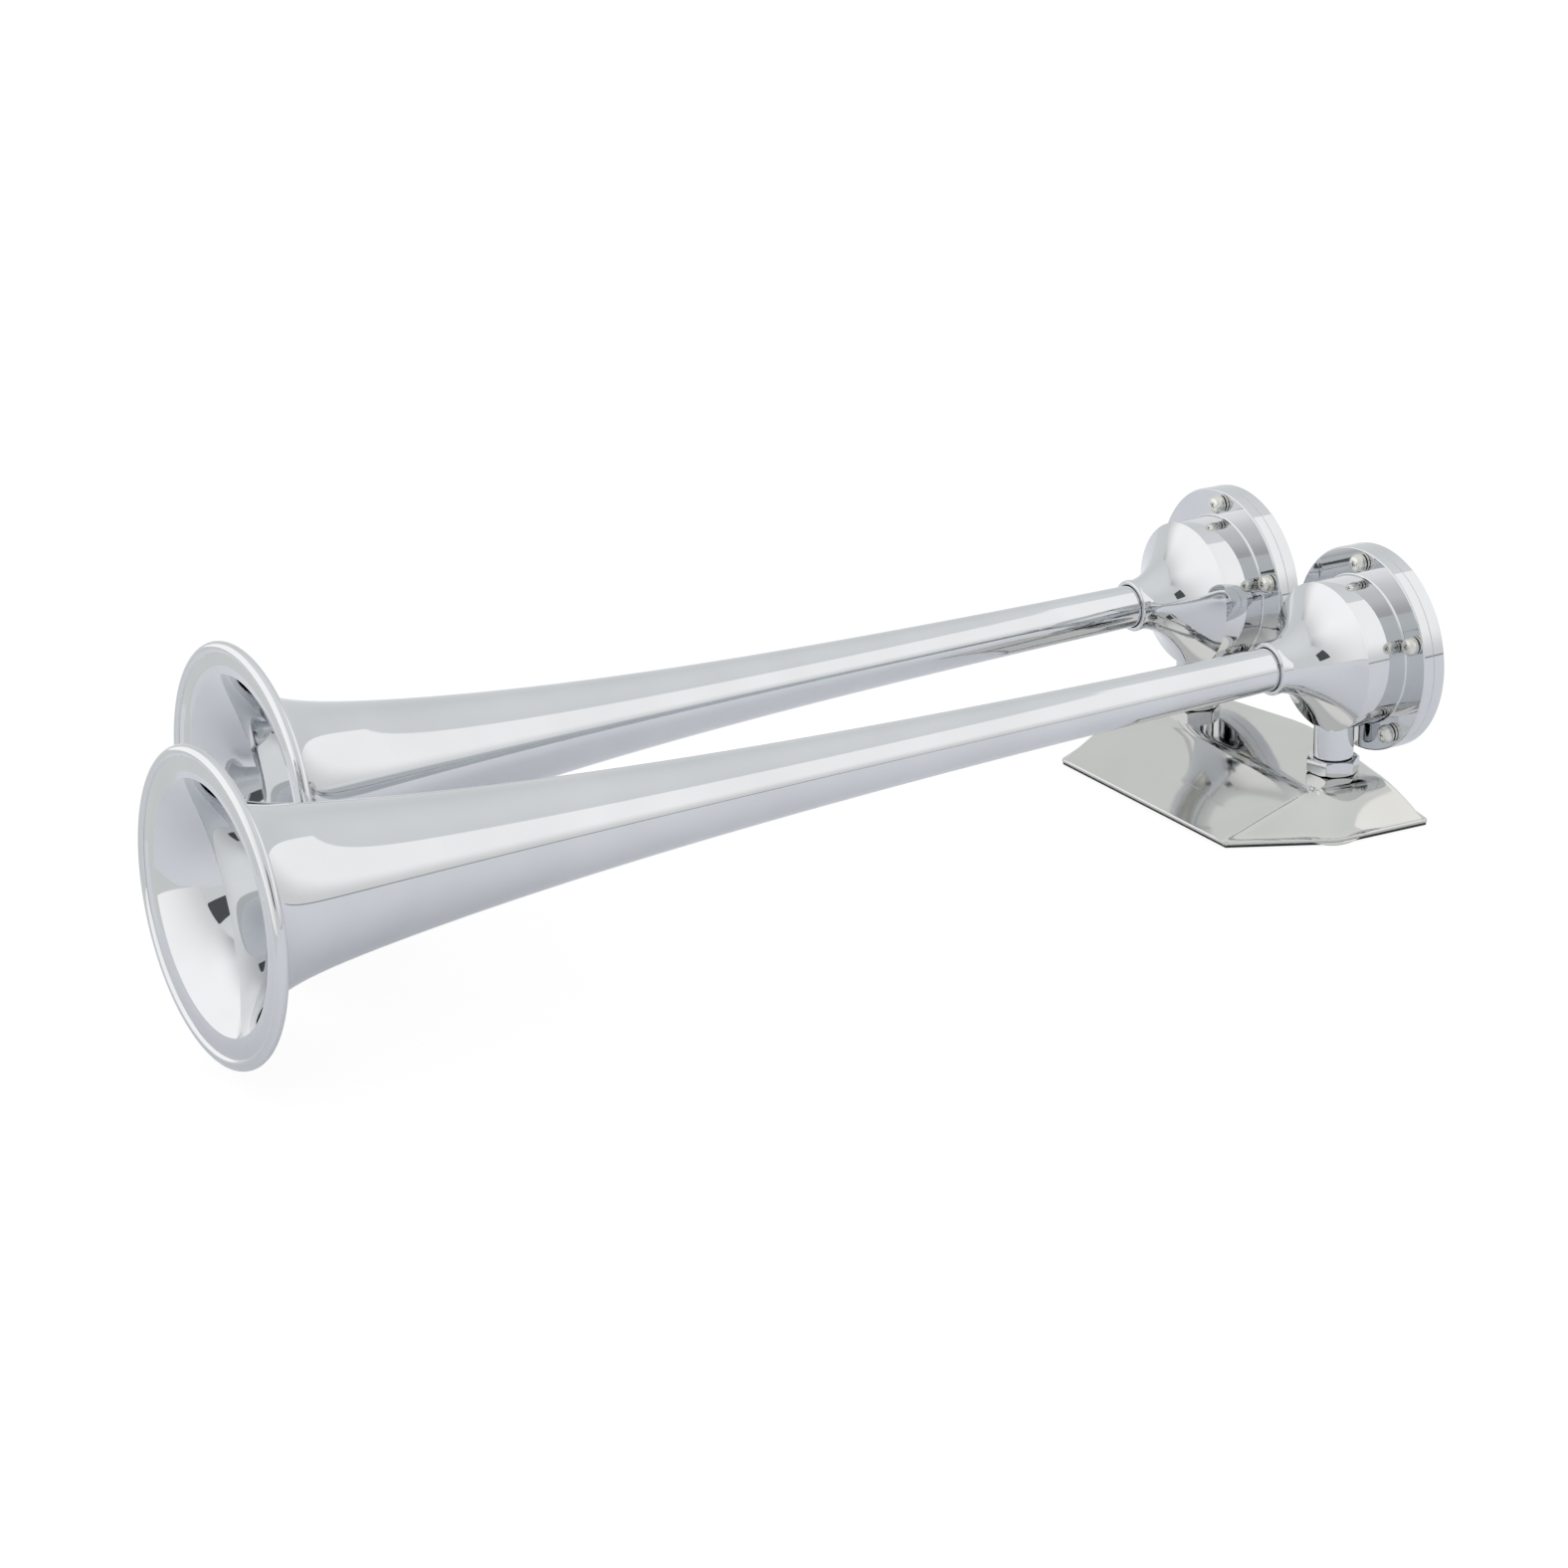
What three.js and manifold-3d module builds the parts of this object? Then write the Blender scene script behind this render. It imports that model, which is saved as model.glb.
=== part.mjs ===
// Dual trumpet air horn: a long and a short chromed trumpet, each on its own sound chamber,
// standing side by side on a pressed base that is bolted to a roof.
// Millimetres, +Z up. The trumpets point to -X, the long one stands on the -Y side.
// The origin is midway between the two posts, on the plane that the base gasket rests on.

import * as THREE from 'three';
import { mergeVertices } from 'three/addons/utils/BufferGeometryUtils.js';
import Module from 'manifold-3d';

const wasm = await Module();
wasm.setup();

// Fits shared by all pieces
const seatGap = 0.3; // between two pieces that rest on each other
const turnGap = 0.35; // between a round piece and the hole it sits in
const overrun = 2; // how far a cutter runs past the wall it cuts

// Arrangement
const trumpetSpacing = 103; // between the two trumpet axes
const axisAbovePlateau = 54.3;
const longTrumpetLength = 555.4; // flange face to the front of the rim
const shortTrumpetLength = 493;

// Base shell, a pressed sheet with a flat plateau, and its gasket
const gasketThickness = 1;
const gasketInset = 0.7; // the gasket's outline lies this far inside the shell's
const gasketStripWidth = 9;
const gasketBridgeWidth = 26;
const baseHeight = 18.2;
const baseSheet = 1.2;
const baseLipHeight = 1.5; // the upright edge all round

// Corners of the foot and of the plateau: reaches from the post line, margins from a post's axis
const footFrontReach = 66.8;
const footFrontMargin = 11;
const footBendReach = 22.5;
const footBendMargin = 34.5;
const footRearReach = 25;
const footRearMargin = 36.9;
const footRearPoint = 18; // how far the middle of the rear stands out
const plateauFrontReach = 23.6;
const plateauFrontMargin = 16;
const plateauBendReach = 17;
const plateauBendMargin = 17.1;
const plateauRearReach = 12.7;
const plateauRearMargin = 21.2;
const plateauRearPoint = 15;

// Hollow stud, its nuts and its washer
const studRadius = 6.8;
const studBore = 3.6;
const studThreadDepth = 14; // how far it is screwed into the post
const studClearBelow = 3; // its lower end stays this far above the mounting plane
const nutAcrossFlats = 21;
const nutHeight = 6.5;
const nutTurn = -22; // degrees, as the near nut stands in the photograph
const nutChamferShare = 0.56; // of the difference between the corner and flat radii
const washerRadius = 11.5;
const washerThickness = 1.6;

// Sound chamber, measured from the front face of its flange
const flangeRadius = 45.6;
const flangeThickness = 5.2;
const flangeChamfer = 0.7;
const drumRadius = 33;
const domeRadius = 33.5;
const domeLipWidth = 1.2;
const domeFront = 20.4; // where the dome starts, ahead of the flange
const collarFront = 50.4;
const collarRadius = 11.7;
const collarWidth = 2;
const neckRadius = 11.3;
const domeHollow = 1.85; // how strongly the dome is drawn in towards its neck, 1 is a cone
const chamberRadius = 29.5;
const chamberBendShares = [0.5, 0.75]; // depth and radius where its inner dome bends in
const chamberCrownShares = [0.96, 0.5]; // and where it turns flat
const chamberFront = 33.5;
const bossRadius = 12.8; // inner boss that carries the nozzle
const bossRear = 28;
const postOffset = 12.4; // the post's axis lies this far ahead of the flange
const postRadius = 8.9;
const postAirRadius = 3.6;

// Diaphragm stack between the flange and the rear cover
const pocketRadius = 35.4;
const pocketDepth = 2.2;
const gasketRingThickness = 1;
const gasketRingInner = 30;
const diaphragmThickness = 0.8;
const diaphragmDomeRadius = 24;
const diaphragmDomeHeight = 0.6;
const coverThickness = 5.7;
const coverBossRadius = 30;
const coverBossSlope = 3;
const coverBossHeight = 3;
const coverRoomRadius = 27;
const coverRoomDepth = 4.4; // room behind the diaphragm

// Nozzle, the brass tube that the diaphragm closes
const nozzleBore = 6.2;
const nozzleSeatRadius = 12;
const nozzleSeatLength = 2.6;
const nozzleInBore = 10.3; // how much of the neck bore it leaves to the trumpet

// Trumpet
const throatRadius = 9.5; // outer radius where it enters the collar
const trumpetWall = 1.2;
const taperRimRadius = 39.3; // what the slow taper alone would reach at the rim
const longTaperDecay = 183; // decay lengths of the slow taper
const shortTaperDecay = 140;
const lipInnerRadius = 55.3; // where the bell meets the flat lip
const bellFlareLength = 12.5; // decay length of the last flare
const placeCrowding = 2.4; // how closely the profile's points gather towards the rim
const rimRadius = 64;
const rimBead = 2.6; // radius of the rolled edge
const lipSetback = 1.2; // from the front of the rolled edge to the lip

// Screws
const screwCount = 5;
const screwPitchRadius = 39.8;
const screwRadius = 2;
const screwHeadRadius = 3.75;
const screwHeadHeight = 2.9;
const screwBite = 4.1; // how far it goes into the rear cover
const lockWasherRadius = 3.6;
const lockWasherThickness = 1.1;
const lockWasherSplit = 0.7;
const recessLength = 4;
const recessWidth = 0.8;
const recessDepth = 1.3;
const headSideShare = 0.45; // of the head's height stands upright
const headCrownShares = [0.78, 0.88]; // radius and height where the crown turns in
const headFlatShare = 0.4; // radius of the head's flat middle
const rimScrewRadius = 1.2;
const rimScrewHeadRadius = 2.9;
const rimScrewHeadHeight = 2.2;
const rimScrewFlatShare = 0.75;
const rimScrewPitchRadius = 54.8;
const rimScrewAngle = 22; // degrees above the horizontal, on the -Y side

// Facets round each kind of piece
const bellSides = 32;
const castingSides = 28;
const ringSides = 24;
const tubeSides = 16;
const screwSides = 10;
const washerArcSteps = 8;
const domeSteps = 8;
const taperSteps = 11;
const beadSteps = 7;

// Places worked out from the sizes above
const shellBottom = gasketThickness + seatGap;
const plateauZ = shellBottom + baseHeight;
const axisZ = plateauZ + axisAbovePlateau;
const jamNutBottom = plateauZ + seatGap;
const postBottom = jamNutBottom + nutHeight + seatGap;
const lowerWasherTop = plateauZ - baseSheet - seatGap;
const lowerNutTop = lowerWasherTop - washerThickness - seatGap;
const neckBore = throatRadius + turnGap;
const studHole = studRadius + turnGap;
const screwHole = (screwRadius + turnGap) / Math.cos(Math.PI / screwSides);
const rimScrewHole = rimScrewRadius + turnGap;
const flangeRear = -flangeThickness;
const coverFront = flangeRear - seatGap;
const frontRingFront = flangeRear + pocketDepth - turnGap;
const diaphragmFront = frontRingFront - gasketRingThickness - turnGap;
const rearRingFront = diaphragmFront - diaphragmThickness - turnGap;
const coverPocketFloor = rearRingFront - gasketRingThickness - turnGap;
const coverRear = coverFront - coverThickness;
const stackRadius = pocketRadius - turnGap;

// Materials, as the photograph shows them
const chrome = { color: 0xd4d6da, roughness: 0.08, metalness: 1 };
const bareChrome = { color: 0xc6c6c2, roughness: 0.12, metalness: 1 };
const zincSteel = { color: 0xb9bab4, roughness: 0.3, metalness: 1 };
const brass = { color: 0xb79a57, roughness: 0.35, metalness: 1 };
const springSteel = { color: 0x9fa3a8, roughness: 0.3, metalness: 1 };
const blackRubber = { color: 0x1d1d1e, roughness: 0.85, metalness: 0 };

// Geometry helpers

const mergeTolerance = 1e-4;

// A closed solid from a three.js geometry: shared vertices merged, collapsed triangles dropped,
// faces turned outwards.
function solid(geometry) {
  const bare = geometry.index ? geometry.clone() : geometry;
  for (const name of Object.keys(bare.attributes)) {
    if (name !== 'position') bare.deleteAttribute(name);
  }
  const merged = mergeVertices(bare, mergeTolerance);
  const source = merged.index.array;
  const kept = [];
  for (let i = 0; i < source.length; i += 3) {
    const [a, b, c] = [source[i], source[i + 1], source[i + 2]];
    if (a !== b && b !== c && c !== a) kept.push(a, b, c);
  }
  const places = merged.attributes.position.array;
  if (signedVolume(places, kept) < 0) kept.reverse();
  const mesh = new wasm.Mesh({
    numProp: 3,
    vertProperties: new Float32Array(places),
    triVerts: new Uint32Array(kept),
  });
  return new wasm.Manifold(mesh);
}

function signedVolume(places, triangles) {
  let total = 0;
  const corner = [new THREE.Vector3(), new THREE.Vector3(), new THREE.Vector3()];
  for (let i = 0; i < triangles.length; i += 3) {
    corner.forEach((v, k) => v.fromArray(places, 3 * triangles[i + k]));
    total += corner[0].dot(corner[1].clone().cross(corner[2]));
  }
  return total;
}

function geometryOf(body) {
  const mesh = body.getMesh();
  const geometry = new THREE.BufferGeometry();
  geometry.setAttribute('position', new THREE.BufferAttribute(mesh.vertProperties, 3));
  geometry.setIndex(new THREE.BufferAttribute(mesh.triVerts, 1));
  geometry.computeVertexNormals();
  return geometry;
}

// A closed profile of [radius, distance ahead of the flange] turned about the trumpet's axis.
function turnedAhead(profile, sides) {
  return solid(latheOf(profile, sides).rotateZ(Math.PI / 2));
}

// A closed profile of [radius, height] turned about the vertical.
function turnedUp(profile, sides) {
  return solid(latheOf(profile, sides).rotateX(Math.PI / 2));
}

function latheOf(profile, sides) {
  const points = profile.map(([r, a]) => new THREE.Vector2(r, a));
  points.push(points[0].clone());
  return new THREE.LatheGeometry(points, sides);
}

// A solid of several outlines of equally many points, each at its own height.
function lofted(levels) {
  const count = levels[0].points.length;
  const places = [];
  const triangles = [];
  for (const { points, z } of levels) {
    for (const p of points) places.push(p.x, p.y, z);
  }
  for (let k = 0; k + 1 < levels.length; k += 1) {
    for (let i = 0; i < count; i += 1) {
      const [a, b] = [k * count + i, k * count + ((i + 1) % count)];
      triangles.push(a, b, b + count, a, b + count, a + count);
    }
  }
  const top = (levels.length - 1) * count;
  for (let i = 1; i + 1 < count; i += 1) {
    triangles.push(0, i + 1, i, top, top + i, top + i + 1);
  }
  const geometry = new THREE.BufferGeometry();
  geometry.setAttribute('position', new THREE.Float32BufferAttribute(places, 3));
  geometry.setIndex(triangles);
  return solid(geometry);
}

// A convex outline moved inwards by the same distance on every side.
function inset(points, distance) {
  return points.map((point, i) => {
    const before = points[(i + points.length - 1) % points.length];
    const after = points[(i + 1) % points.length];
    const inward = point.clone().sub(before).normalize();
    const onward = after.clone().sub(point).normalize();
    const halfTurn = Math.acos(THREE.MathUtils.clamp(inward.dot(onward), -1, 1)) / 2;
    const bisector = new THREE.Vector2(-inward.y - onward.y, inward.x + onward.x).normalize();
    return point.clone().addScaledVector(bisector, distance / Math.cos(halfTurn));
  });
}

function extrudedUp(shape, low, high, curveSegments) {
  const settings = { depth: high - low, bevelEnabled: false, curveSegments };
  return solid(new THREE.ExtrudeGeometry(shape, settings).translate(0, 0, low));
}

// Adds a named mesh to a group, with a material of its own.
function addPiece(group, name, body, look) {
  const mesh = new THREE.Mesh(geometryOf(body), new THREE.MeshStandardMaterial({ ...look }));
  mesh.name = name;
  group.add(mesh);
}

// Base

// A seven-sided outline, counterclockwise: its ends bend and the middle of its rear stands out.
function baseOutline(corners, rearPoint) {
  const places = corners.map(([x, margin]) => [x, trumpetSpacing / 2 + margin]);
  const right = places.map(([x, y]) => new THREE.Vector2(x, -y));
  const left = places.map(([x, y]) => new THREE.Vector2(x, y)).reverse();
  const point = new THREE.Vector2(left[0].x + rearPoint, 0);
  return [...right, point, ...left];
}

const footOutline = baseOutline([
  [-footFrontReach, footFrontMargin], [-footBendReach, footBendMargin],
  [footRearReach, footRearMargin],
], footRearPoint);
const plateauOutline = baseOutline([
  [-plateauFrontReach, plateauFrontMargin], [-plateauBendReach, plateauBendMargin],
  [plateauRearReach, plateauRearMargin],
], plateauRearPoint);

function stationHole(radius, low, high, side) {
  const hole = turnedUp([[0, low], [radius, low], [radius, high], [0, high]], tubeSides);
  return hole.translate([0, side * trumpetSpacing / 2, 0]);
}

function baseShell() {
  const outer = lofted([
    { points: footOutline, z: shellBottom },
    { points: footOutline, z: shellBottom + baseLipHeight },
    { points: plateauOutline, z: plateauZ },
  ]);
  const innerFoot = inset(footOutline, baseSheet);
  const inner = lofted([
    { points: innerFoot, z: shellBottom - overrun },
    { points: innerFoot, z: shellBottom + baseLipHeight - baseSheet },
    { points: inset(plateauOutline, baseSheet), z: plateauZ - baseSheet },
  ]);
  const low = plateauZ - baseSheet - overrun;
  const holes = [-1, 1].map((side) => stationHole(studHole, low, plateauZ + overrun, side));
  return outer.subtract(inner).subtract(holes[0]).subtract(holes[1]);
}

// A strip along the foot's edge, with a bridge between the two posts.
function baseGasket() {
  const outline = inset(footOutline, gasketInset);
  const plate = extrudedUp(new THREE.Shape(outline), 0, gasketThickness, 1);
  const hole = new THREE.Shape(inset(outline, gasketStripWidth));
  const opening = extrudedUp(hole, -overrun, gasketThickness + overrun, 1);
  const reach = footFrontReach + footRearReach + footRearPoint;
  const bridge = solid(new THREE.BoxGeometry(2 * reach, gasketBridgeWidth, 4 * overrun));
  return plate.subtract(opening.subtract(bridge));
}

// Posts' fasteners

function hexNut(bottom) {
  const flat = nutAcrossFlats / 2;
  const corner = flat / Math.cos(Math.PI / 6);
  const top = bottom + nutHeight;
  const chamfer = (corner - flat) * nutChamferShare;
  const corners = Array.from({ length: 6 }, (_, i) => {
    const angle = (i * Math.PI) / 3 + THREE.MathUtils.degToRad(nutTurn);
    return new THREE.Vector2(corner * Math.cos(angle), corner * Math.sin(angle));
  });
  const block = extrudedUp(new THREE.Shape(corners), bottom, top, 1);
  const rounding = turnedUp([
    [0, bottom], [corner - chamfer, bottom], [corner, bottom + chamfer],
    [corner, top - chamfer], [corner - chamfer, top], [0, top],
  ], ringSides);
  const bore = turnedUp([
    [0, bottom - overrun], [studHole, bottom - overrun],
    [studHole, top + overrun], [0, top + overrun],
  ], tubeSides);
  return block.intersect(rounding).subtract(bore);
}

function washer(radius, bore, bottom, thickness) {
  const top = bottom + thickness;
  return turnedUp([[bore, bottom], [radius, bottom], [radius, top], [bore, top]], ringSides);
}

function hollowStud() {
  const top = postBottom + studThreadDepth - seatGap;
  return turnedUp([
    [studBore, studClearBelow], [studRadius, studClearBelow], [studRadius, top], [studBore, top],
  ], tubeSides);
}

function addStation(group, name, side) {
  const station = new THREE.Group();
  station.position.y = side * trumpetSpacing / 2;
  const washerBottom = lowerWasherTop - washerThickness;
  addPiece(station, `${name}_hollow_stud`, hollowStud(), brass);
  addPiece(station, `${name}_jam_nut`, hexNut(jamNutBottom), chrome);
  addPiece(station, `${name}_lower_washer`, washer(washerRadius, studHole, washerBottom,
    washerThickness), zincSteel);
  addPiece(station, `${name}_lower_nut`, hexNut(lowerNutTop - nutHeight), zincSteel);
  group.add(station);
}

// Sound chamber, in the horn's own frame: x = 0 on the flange's front face

// The point in the pattern of flange screws, as [y, z].
function screwPlace(index) {
  const angle = Math.PI / 2 + (index * 2 * Math.PI) / screwCount;
  return [screwPitchRadius * Math.cos(angle), screwPitchRadius * Math.sin(angle)];
}

function screwHoles(rear, front) {
  const profile = [[0, rear], [screwHole, rear], [screwHole, front], [0, front]];
  const hole = turnedAhead(profile, screwSides);
  const all = Array.from({ length: screwCount }, (_, i) => {
    const [y, z] = screwPlace(i);
    return hole.translate([0, y, z]);
  });
  return all.reduce((sum, one) => sum.add(one));
}

// The outside of the dome as a curve from its lip down to the neck.
function domeCurve() {
  const depth = collarFront - collarWidth - domeFront;
  const span = domeRadius - neckRadius;
  return Array.from({ length: domeSteps + 1 }, (_, i) => {
    const share = i / domeSteps;
    const fall = (1 - share) ** domeHollow;
    return [neckRadius + fall * span, domeFront + share * depth];
  });
}

function chamberCasting() {
  const edge = flangeRadius - flangeChamfer;
  const lipRear = domeFront - domeLipWidth;
  const collarRear = collarFront - collarWidth;
  const roundness = (collarRadius - neckRadius) / 2;
  const pocketFloor = flangeRear + pocketDepth;
  const chamberRear = domeFront - domeLipWidth;
  const inner = ([depth, radius]) => [
    radius * chamberRadius, chamberRear + depth * (chamberFront - chamberRear)];
  const outside = [
    [pocketRadius, flangeRear], [flangeRadius, flangeRear],
    [flangeRadius, -flangeChamfer], [edge, 0], [drumRadius, 0],
    [drumRadius, lipRear], [domeRadius, lipRear],
    ...domeCurve(),
    [collarRadius, collarRear + roundness], [collarRadius, collarFront - roundness],
    [collarRadius - roundness, collarFront], [neckBore, collarFront],
  ];
  const inside = [
    [neckBore, bossRear], [bossRadius, bossRear], [bossRadius, chamberFront],
    inner(chamberCrownShares), inner(chamberBendShares), [chamberRadius, chamberRear],
    [chamberRadius, pocketFloor], [pocketRadius, pocketFloor],
  ];
  return turnedAhead([...outside, ...inside], castingSides);
}

// The post below the drum, from inside the drum's wall down to the jam nut.
function soundChamber() {
  const bottom = postBottom - axisZ;
  const wallMiddle = -(drumRadius + chamberRadius) / 2;
  const threadTop = bottom + studThreadDepth;
  const post = turnedUp([
    [0, bottom], [postRadius, bottom], [postRadius, wallMiddle], [0, wallMiddle],
  ], ringSides).translate([-postOffset, 0, 0]);
  const threaded = turnedUp([
    [0, bottom - overrun], [studHole, bottom - overrun], [studHole, threadTop], [0, threadTop],
  ], tubeSides).translate([-postOffset, 0, 0]);
  const airWay = turnedUp([
    [0, threadTop - overrun], [postAirRadius, threadTop - overrun],
    [postAirRadius, overrun - chamberRadius], [0, overrun - chamberRadius],
  ], tubeSides).translate([-postOffset, 0, 0]);
  return chamberCasting().add(post).subtract(threaded).subtract(airWay)
    .subtract(screwHoles(flangeRear - overrun, overrun));
}

function rearCover() {
  const edge = flangeRadius - flangeChamfer;
  const bossTop = coverRear - coverBossHeight;
  const roomFloor = coverPocketFloor - coverRoomDepth;
  const disc = turnedAhead([
    [0, bossTop], [coverBossRadius - coverBossSlope, bossTop], [coverBossRadius, coverRear],
    [edge, coverRear], [flangeRadius, coverRear + flangeChamfer], [flangeRadius, coverFront],
    [pocketRadius, coverFront], [pocketRadius, coverPocketFloor],
    [coverRoomRadius, coverPocketFloor], [coverRoomRadius, roomFloor], [0, roomFloor],
  ], castingSides);
  return disc.subtract(screwHoles(coverFront - screwBite - seatGap, coverFront + overrun));
}

function ringGasket(front) {
  const rear = front - gasketRingThickness;
  return turnedAhead([
    [gasketRingInner, rear], [stackRadius, rear], [stackRadius, front], [gasketRingInner, front],
  ], ringSides);
}

function diaphragm() {
  const rear = diaphragmFront - diaphragmThickness;
  const rise = diaphragmDomeHeight;
  return turnedAhead([
    [0, rear - rise], [diaphragmDomeRadius - rise, rear - rise], [diaphragmDomeRadius, rear],
    [stackRadius, rear], [stackRadius, diaphragmFront], [0, diaphragmFront],
  ], ringSides);
}

function nozzle() {
  const seat = diaphragmFront + turnGap;
  const front = collarFront - nozzleInBore;
  const outer = neckBore - turnGap;
  return turnedAhead([
    [nozzleBore, seat], [nozzleSeatRadius, seat], [nozzleSeatRadius, seat + nozzleSeatLength],
    [outer, seat + nozzleSeatLength], [outer, front], [nozzleBore, front],
  ], tubeSides);
}

// Trumpet

// Outer radius of a trumpet at a distance behind the front of its rim.
function trumpetRadius(behind, size) {
  const reach = size.length - collarFront;
  if (behind >= reach) return throatRadius;
  const atCollar = Math.exp(-reach / size.taperDecay);
  const gain = (taperRimRadius - throatRadius) / (1 - atCollar);
  const flare = lipInnerRadius - taperRimRadius;
  const taper = gain * (Math.exp(-behind / size.taperDecay) - atCollar);
  return throatRadius + taper + flare * Math.exp(-behind / bellFlareLength);
}

// Places along the bell, closer together towards the rim, as distances behind it.
function taperPlaces(first, last) {
  return Array.from({ length: taperSteps + 1 }, (_, i) => {
    const share = (i / taperSteps) ** placeCrowding;
    return first + (last - first) * share;
  });
}

// The bell's wall: its outer points, and the same points moved inwards by the wall.
function bellWall(size) {
  const lipRear = lipSetback + trumpetWall;
  const reach = size.length - collarFront;
  const outer = taperPlaces(lipRear, reach).map((d) => [trumpetRadius(d, size), d]);
  const inner = outer.slice(1).map(([r, d], i) => {
    const [before, placeBefore] = outer[i];
    const slope = Math.atan2(before - r, d - placeBefore);
    return [r - trumpetWall * Math.cos(slope), d - trumpetWall * Math.sin(slope)];
  });
  return { outer, inner };
}

// The rolled edge, from the lip's front face round the outside to the lip's rear face.
function rolledEdge() {
  const centre = rimRadius - rimBead;
  const from = Math.acos((rimBead - lipSetback) / rimBead);
  const to = Math.acos((rimBead - lipSetback - trumpetWall) / rimBead);
  return Array.from({ length: beadSteps + 1 }, (_, i) => {
    const angle = -from + ((2 * Math.PI - to + from) * i) / beadSteps;
    return [centre + rimBead * Math.sin(angle), rimBead - rimBead * Math.cos(angle)];
  });
}

function trumpet(size) {
  const { length } = size;
  const { outer, inner } = bellWall(size);
  const end = length - collarFront + nozzleInBore - seatGap;
  const bore = throatRadius - trumpetWall;
  const lipFrontRadius = lipInnerRadius - trumpetWall;
  const profile = [
    [bore, end], ...inner.slice().reverse(), [lipFrontRadius, lipSetback],
    ...rolledEdge(), ...outer, [throatRadius, end],
  ];
  const ahead = profile.map(([r, behind]) => [r, length - behind]);
  return turnedAhead(ahead, bellSides).subtract(rimScrewCutter(length));
}

function rimScrewSpot() {
  const angle = THREE.MathUtils.degToRad(rimScrewAngle);
  return [-rimScrewPitchRadius * Math.cos(angle), rimScrewPitchRadius * Math.sin(angle)];
}

function rimScrewCutter(length) {
  const [y, z] = rimScrewSpot();
  const front = length - lipSetback + overrun / 2;
  const rear = length - lipSetback - trumpetWall - overrun / 2;
  const profile = [[0, rear], [rimScrewHole, rear], [rimScrewHole, front], [0, front]];
  return turnedAhead(profile, screwSides).translate([0, y, z]);
}

// Screws

// A pan head with a cross recess, its shank behind it, both about the trumpet's direction.
function flangeScrew() {
  const headRear = seatGap + lockWasherThickness + seatGap;
  const front = headRear + screwHeadHeight;
  const shankEnd = coverFront - screwBite;
  const [crownRadius, crownHeight] = headCrownShares;
  const turned = turnedAhead([
    [0, shankEnd], [screwRadius, shankEnd], [screwRadius, headRear],
    [screwHeadRadius, headRear],
    [screwHeadRadius, headRear + screwHeadHeight * headSideShare],
    [screwHeadRadius * crownRadius, headRear + screwHeadHeight * crownHeight],
    [screwHeadRadius * headFlatShare, front], [0, front],
  ], screwSides);
  return turned.subtract(crossRecess(front));
}

function crossRecess(front) {
  const bars = [0, 1].map((turn) => {
    const bar = new THREE.BoxGeometry(recessDepth * 2, recessLength, recessWidth);
    return solid(bar.rotateX((turn * Math.PI) / 2).translate(-front, 0, 0));
  });
  return bars[0].add(bars[1]);
}

// A spring washer: a ring with one slit, seen along the screw.
function lockWasher() {
  const halfSlit = Math.asin(lockWasherSplit / 2 / screwHole);
  const shape = new THREE.Shape();
  shape.absarc(0, 0, lockWasherRadius, halfSlit, 2 * Math.PI - halfSlit, false);
  shape.absarc(0, 0, screwHole, 2 * Math.PI - halfSlit, halfSlit, true);
  const settings = { depth: lockWasherThickness, bevelEnabled: false, curveSegments: washerArcSteps };
  const ring = new THREE.ExtrudeGeometry(shape, settings).rotateY(-Math.PI / 2);
  return solid(ring.translate(-seatGap, 0, 0));
}

function rimScrew(length) {
  const lipRear = length - lipSetback - trumpetWall;
  const headFront = lipRear - seatGap;
  const shankFront = length - lipSetback;
  const [y, z] = rimScrewSpot();
  const screw = turnedAhead([
    [0, shankFront], [rimScrewRadius, shankFront], [rimScrewRadius, headFront],
    [rimScrewHeadRadius, headFront],
    [rimScrewHeadRadius, headFront - rimScrewHeadHeight * headSideShare],
    [rimScrewHeadRadius * rimScrewFlatShare, headFront - rimScrewHeadHeight],
    [0, headFront - rimScrewHeadHeight],
  ], screwSides);
  return screw.translate([0, y, z]);
}

// One horn: trumpet, sound chamber and what is inside it

function addHorn(group, name, side, size) {
  const horn = new THREE.Group();
  horn.position.set(postOffset, side * trumpetSpacing / 2, axisZ);
  addPiece(horn, `${name}_trumpet`, trumpet(size), chrome);
  addPiece(horn, `${name}_rim_screw`, rimScrew(size.length), zincSteel);
  addPiece(horn, `${name}_sound_chamber`, soundChamber(), chrome);
  addPiece(horn, `${name}_nozzle`, nozzle(), brass);
  addPiece(horn, `${name}_front_gasket`, ringGasket(frontRingFront), blackRubber);
  addPiece(horn, `${name}_diaphragm`, diaphragm(), springSteel);
  addPiece(horn, `${name}_rear_gasket`, ringGasket(rearRingFront), blackRubber);
  addPiece(horn, `${name}_rear_cover`, rearCover(), chrome);
  for (let i = 0; i < screwCount; i += 1) {
    const [y, z] = screwPlace(i);
    addPiece(horn, `${name}_cover_screw_${i + 1}`, flangeScrew().translate([0, y, z]), zincSteel);
    addPiece(horn, `${name}_lock_washer_${i + 1}`, lockWasher().translate([0, y, z]), zincSteel);
  }
  group.add(horn);
}

const airHorn = new THREE.Group();
addPiece(airHorn, 'base_shell', baseShell(), bareChrome);
addPiece(airHorn, 'base_gasket', baseGasket(), blackRubber);
addStation(airHorn, 'long', -1);
addStation(airHorn, 'short', 1);
addHorn(airHorn, 'long', -1, { length: longTrumpetLength, taperDecay: longTaperDecay });
addHorn(airHorn, 'short', 1, { length: shortTrumpetLength, taperDecay: shortTaperDecay });

export default airHorn;
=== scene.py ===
import math

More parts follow.
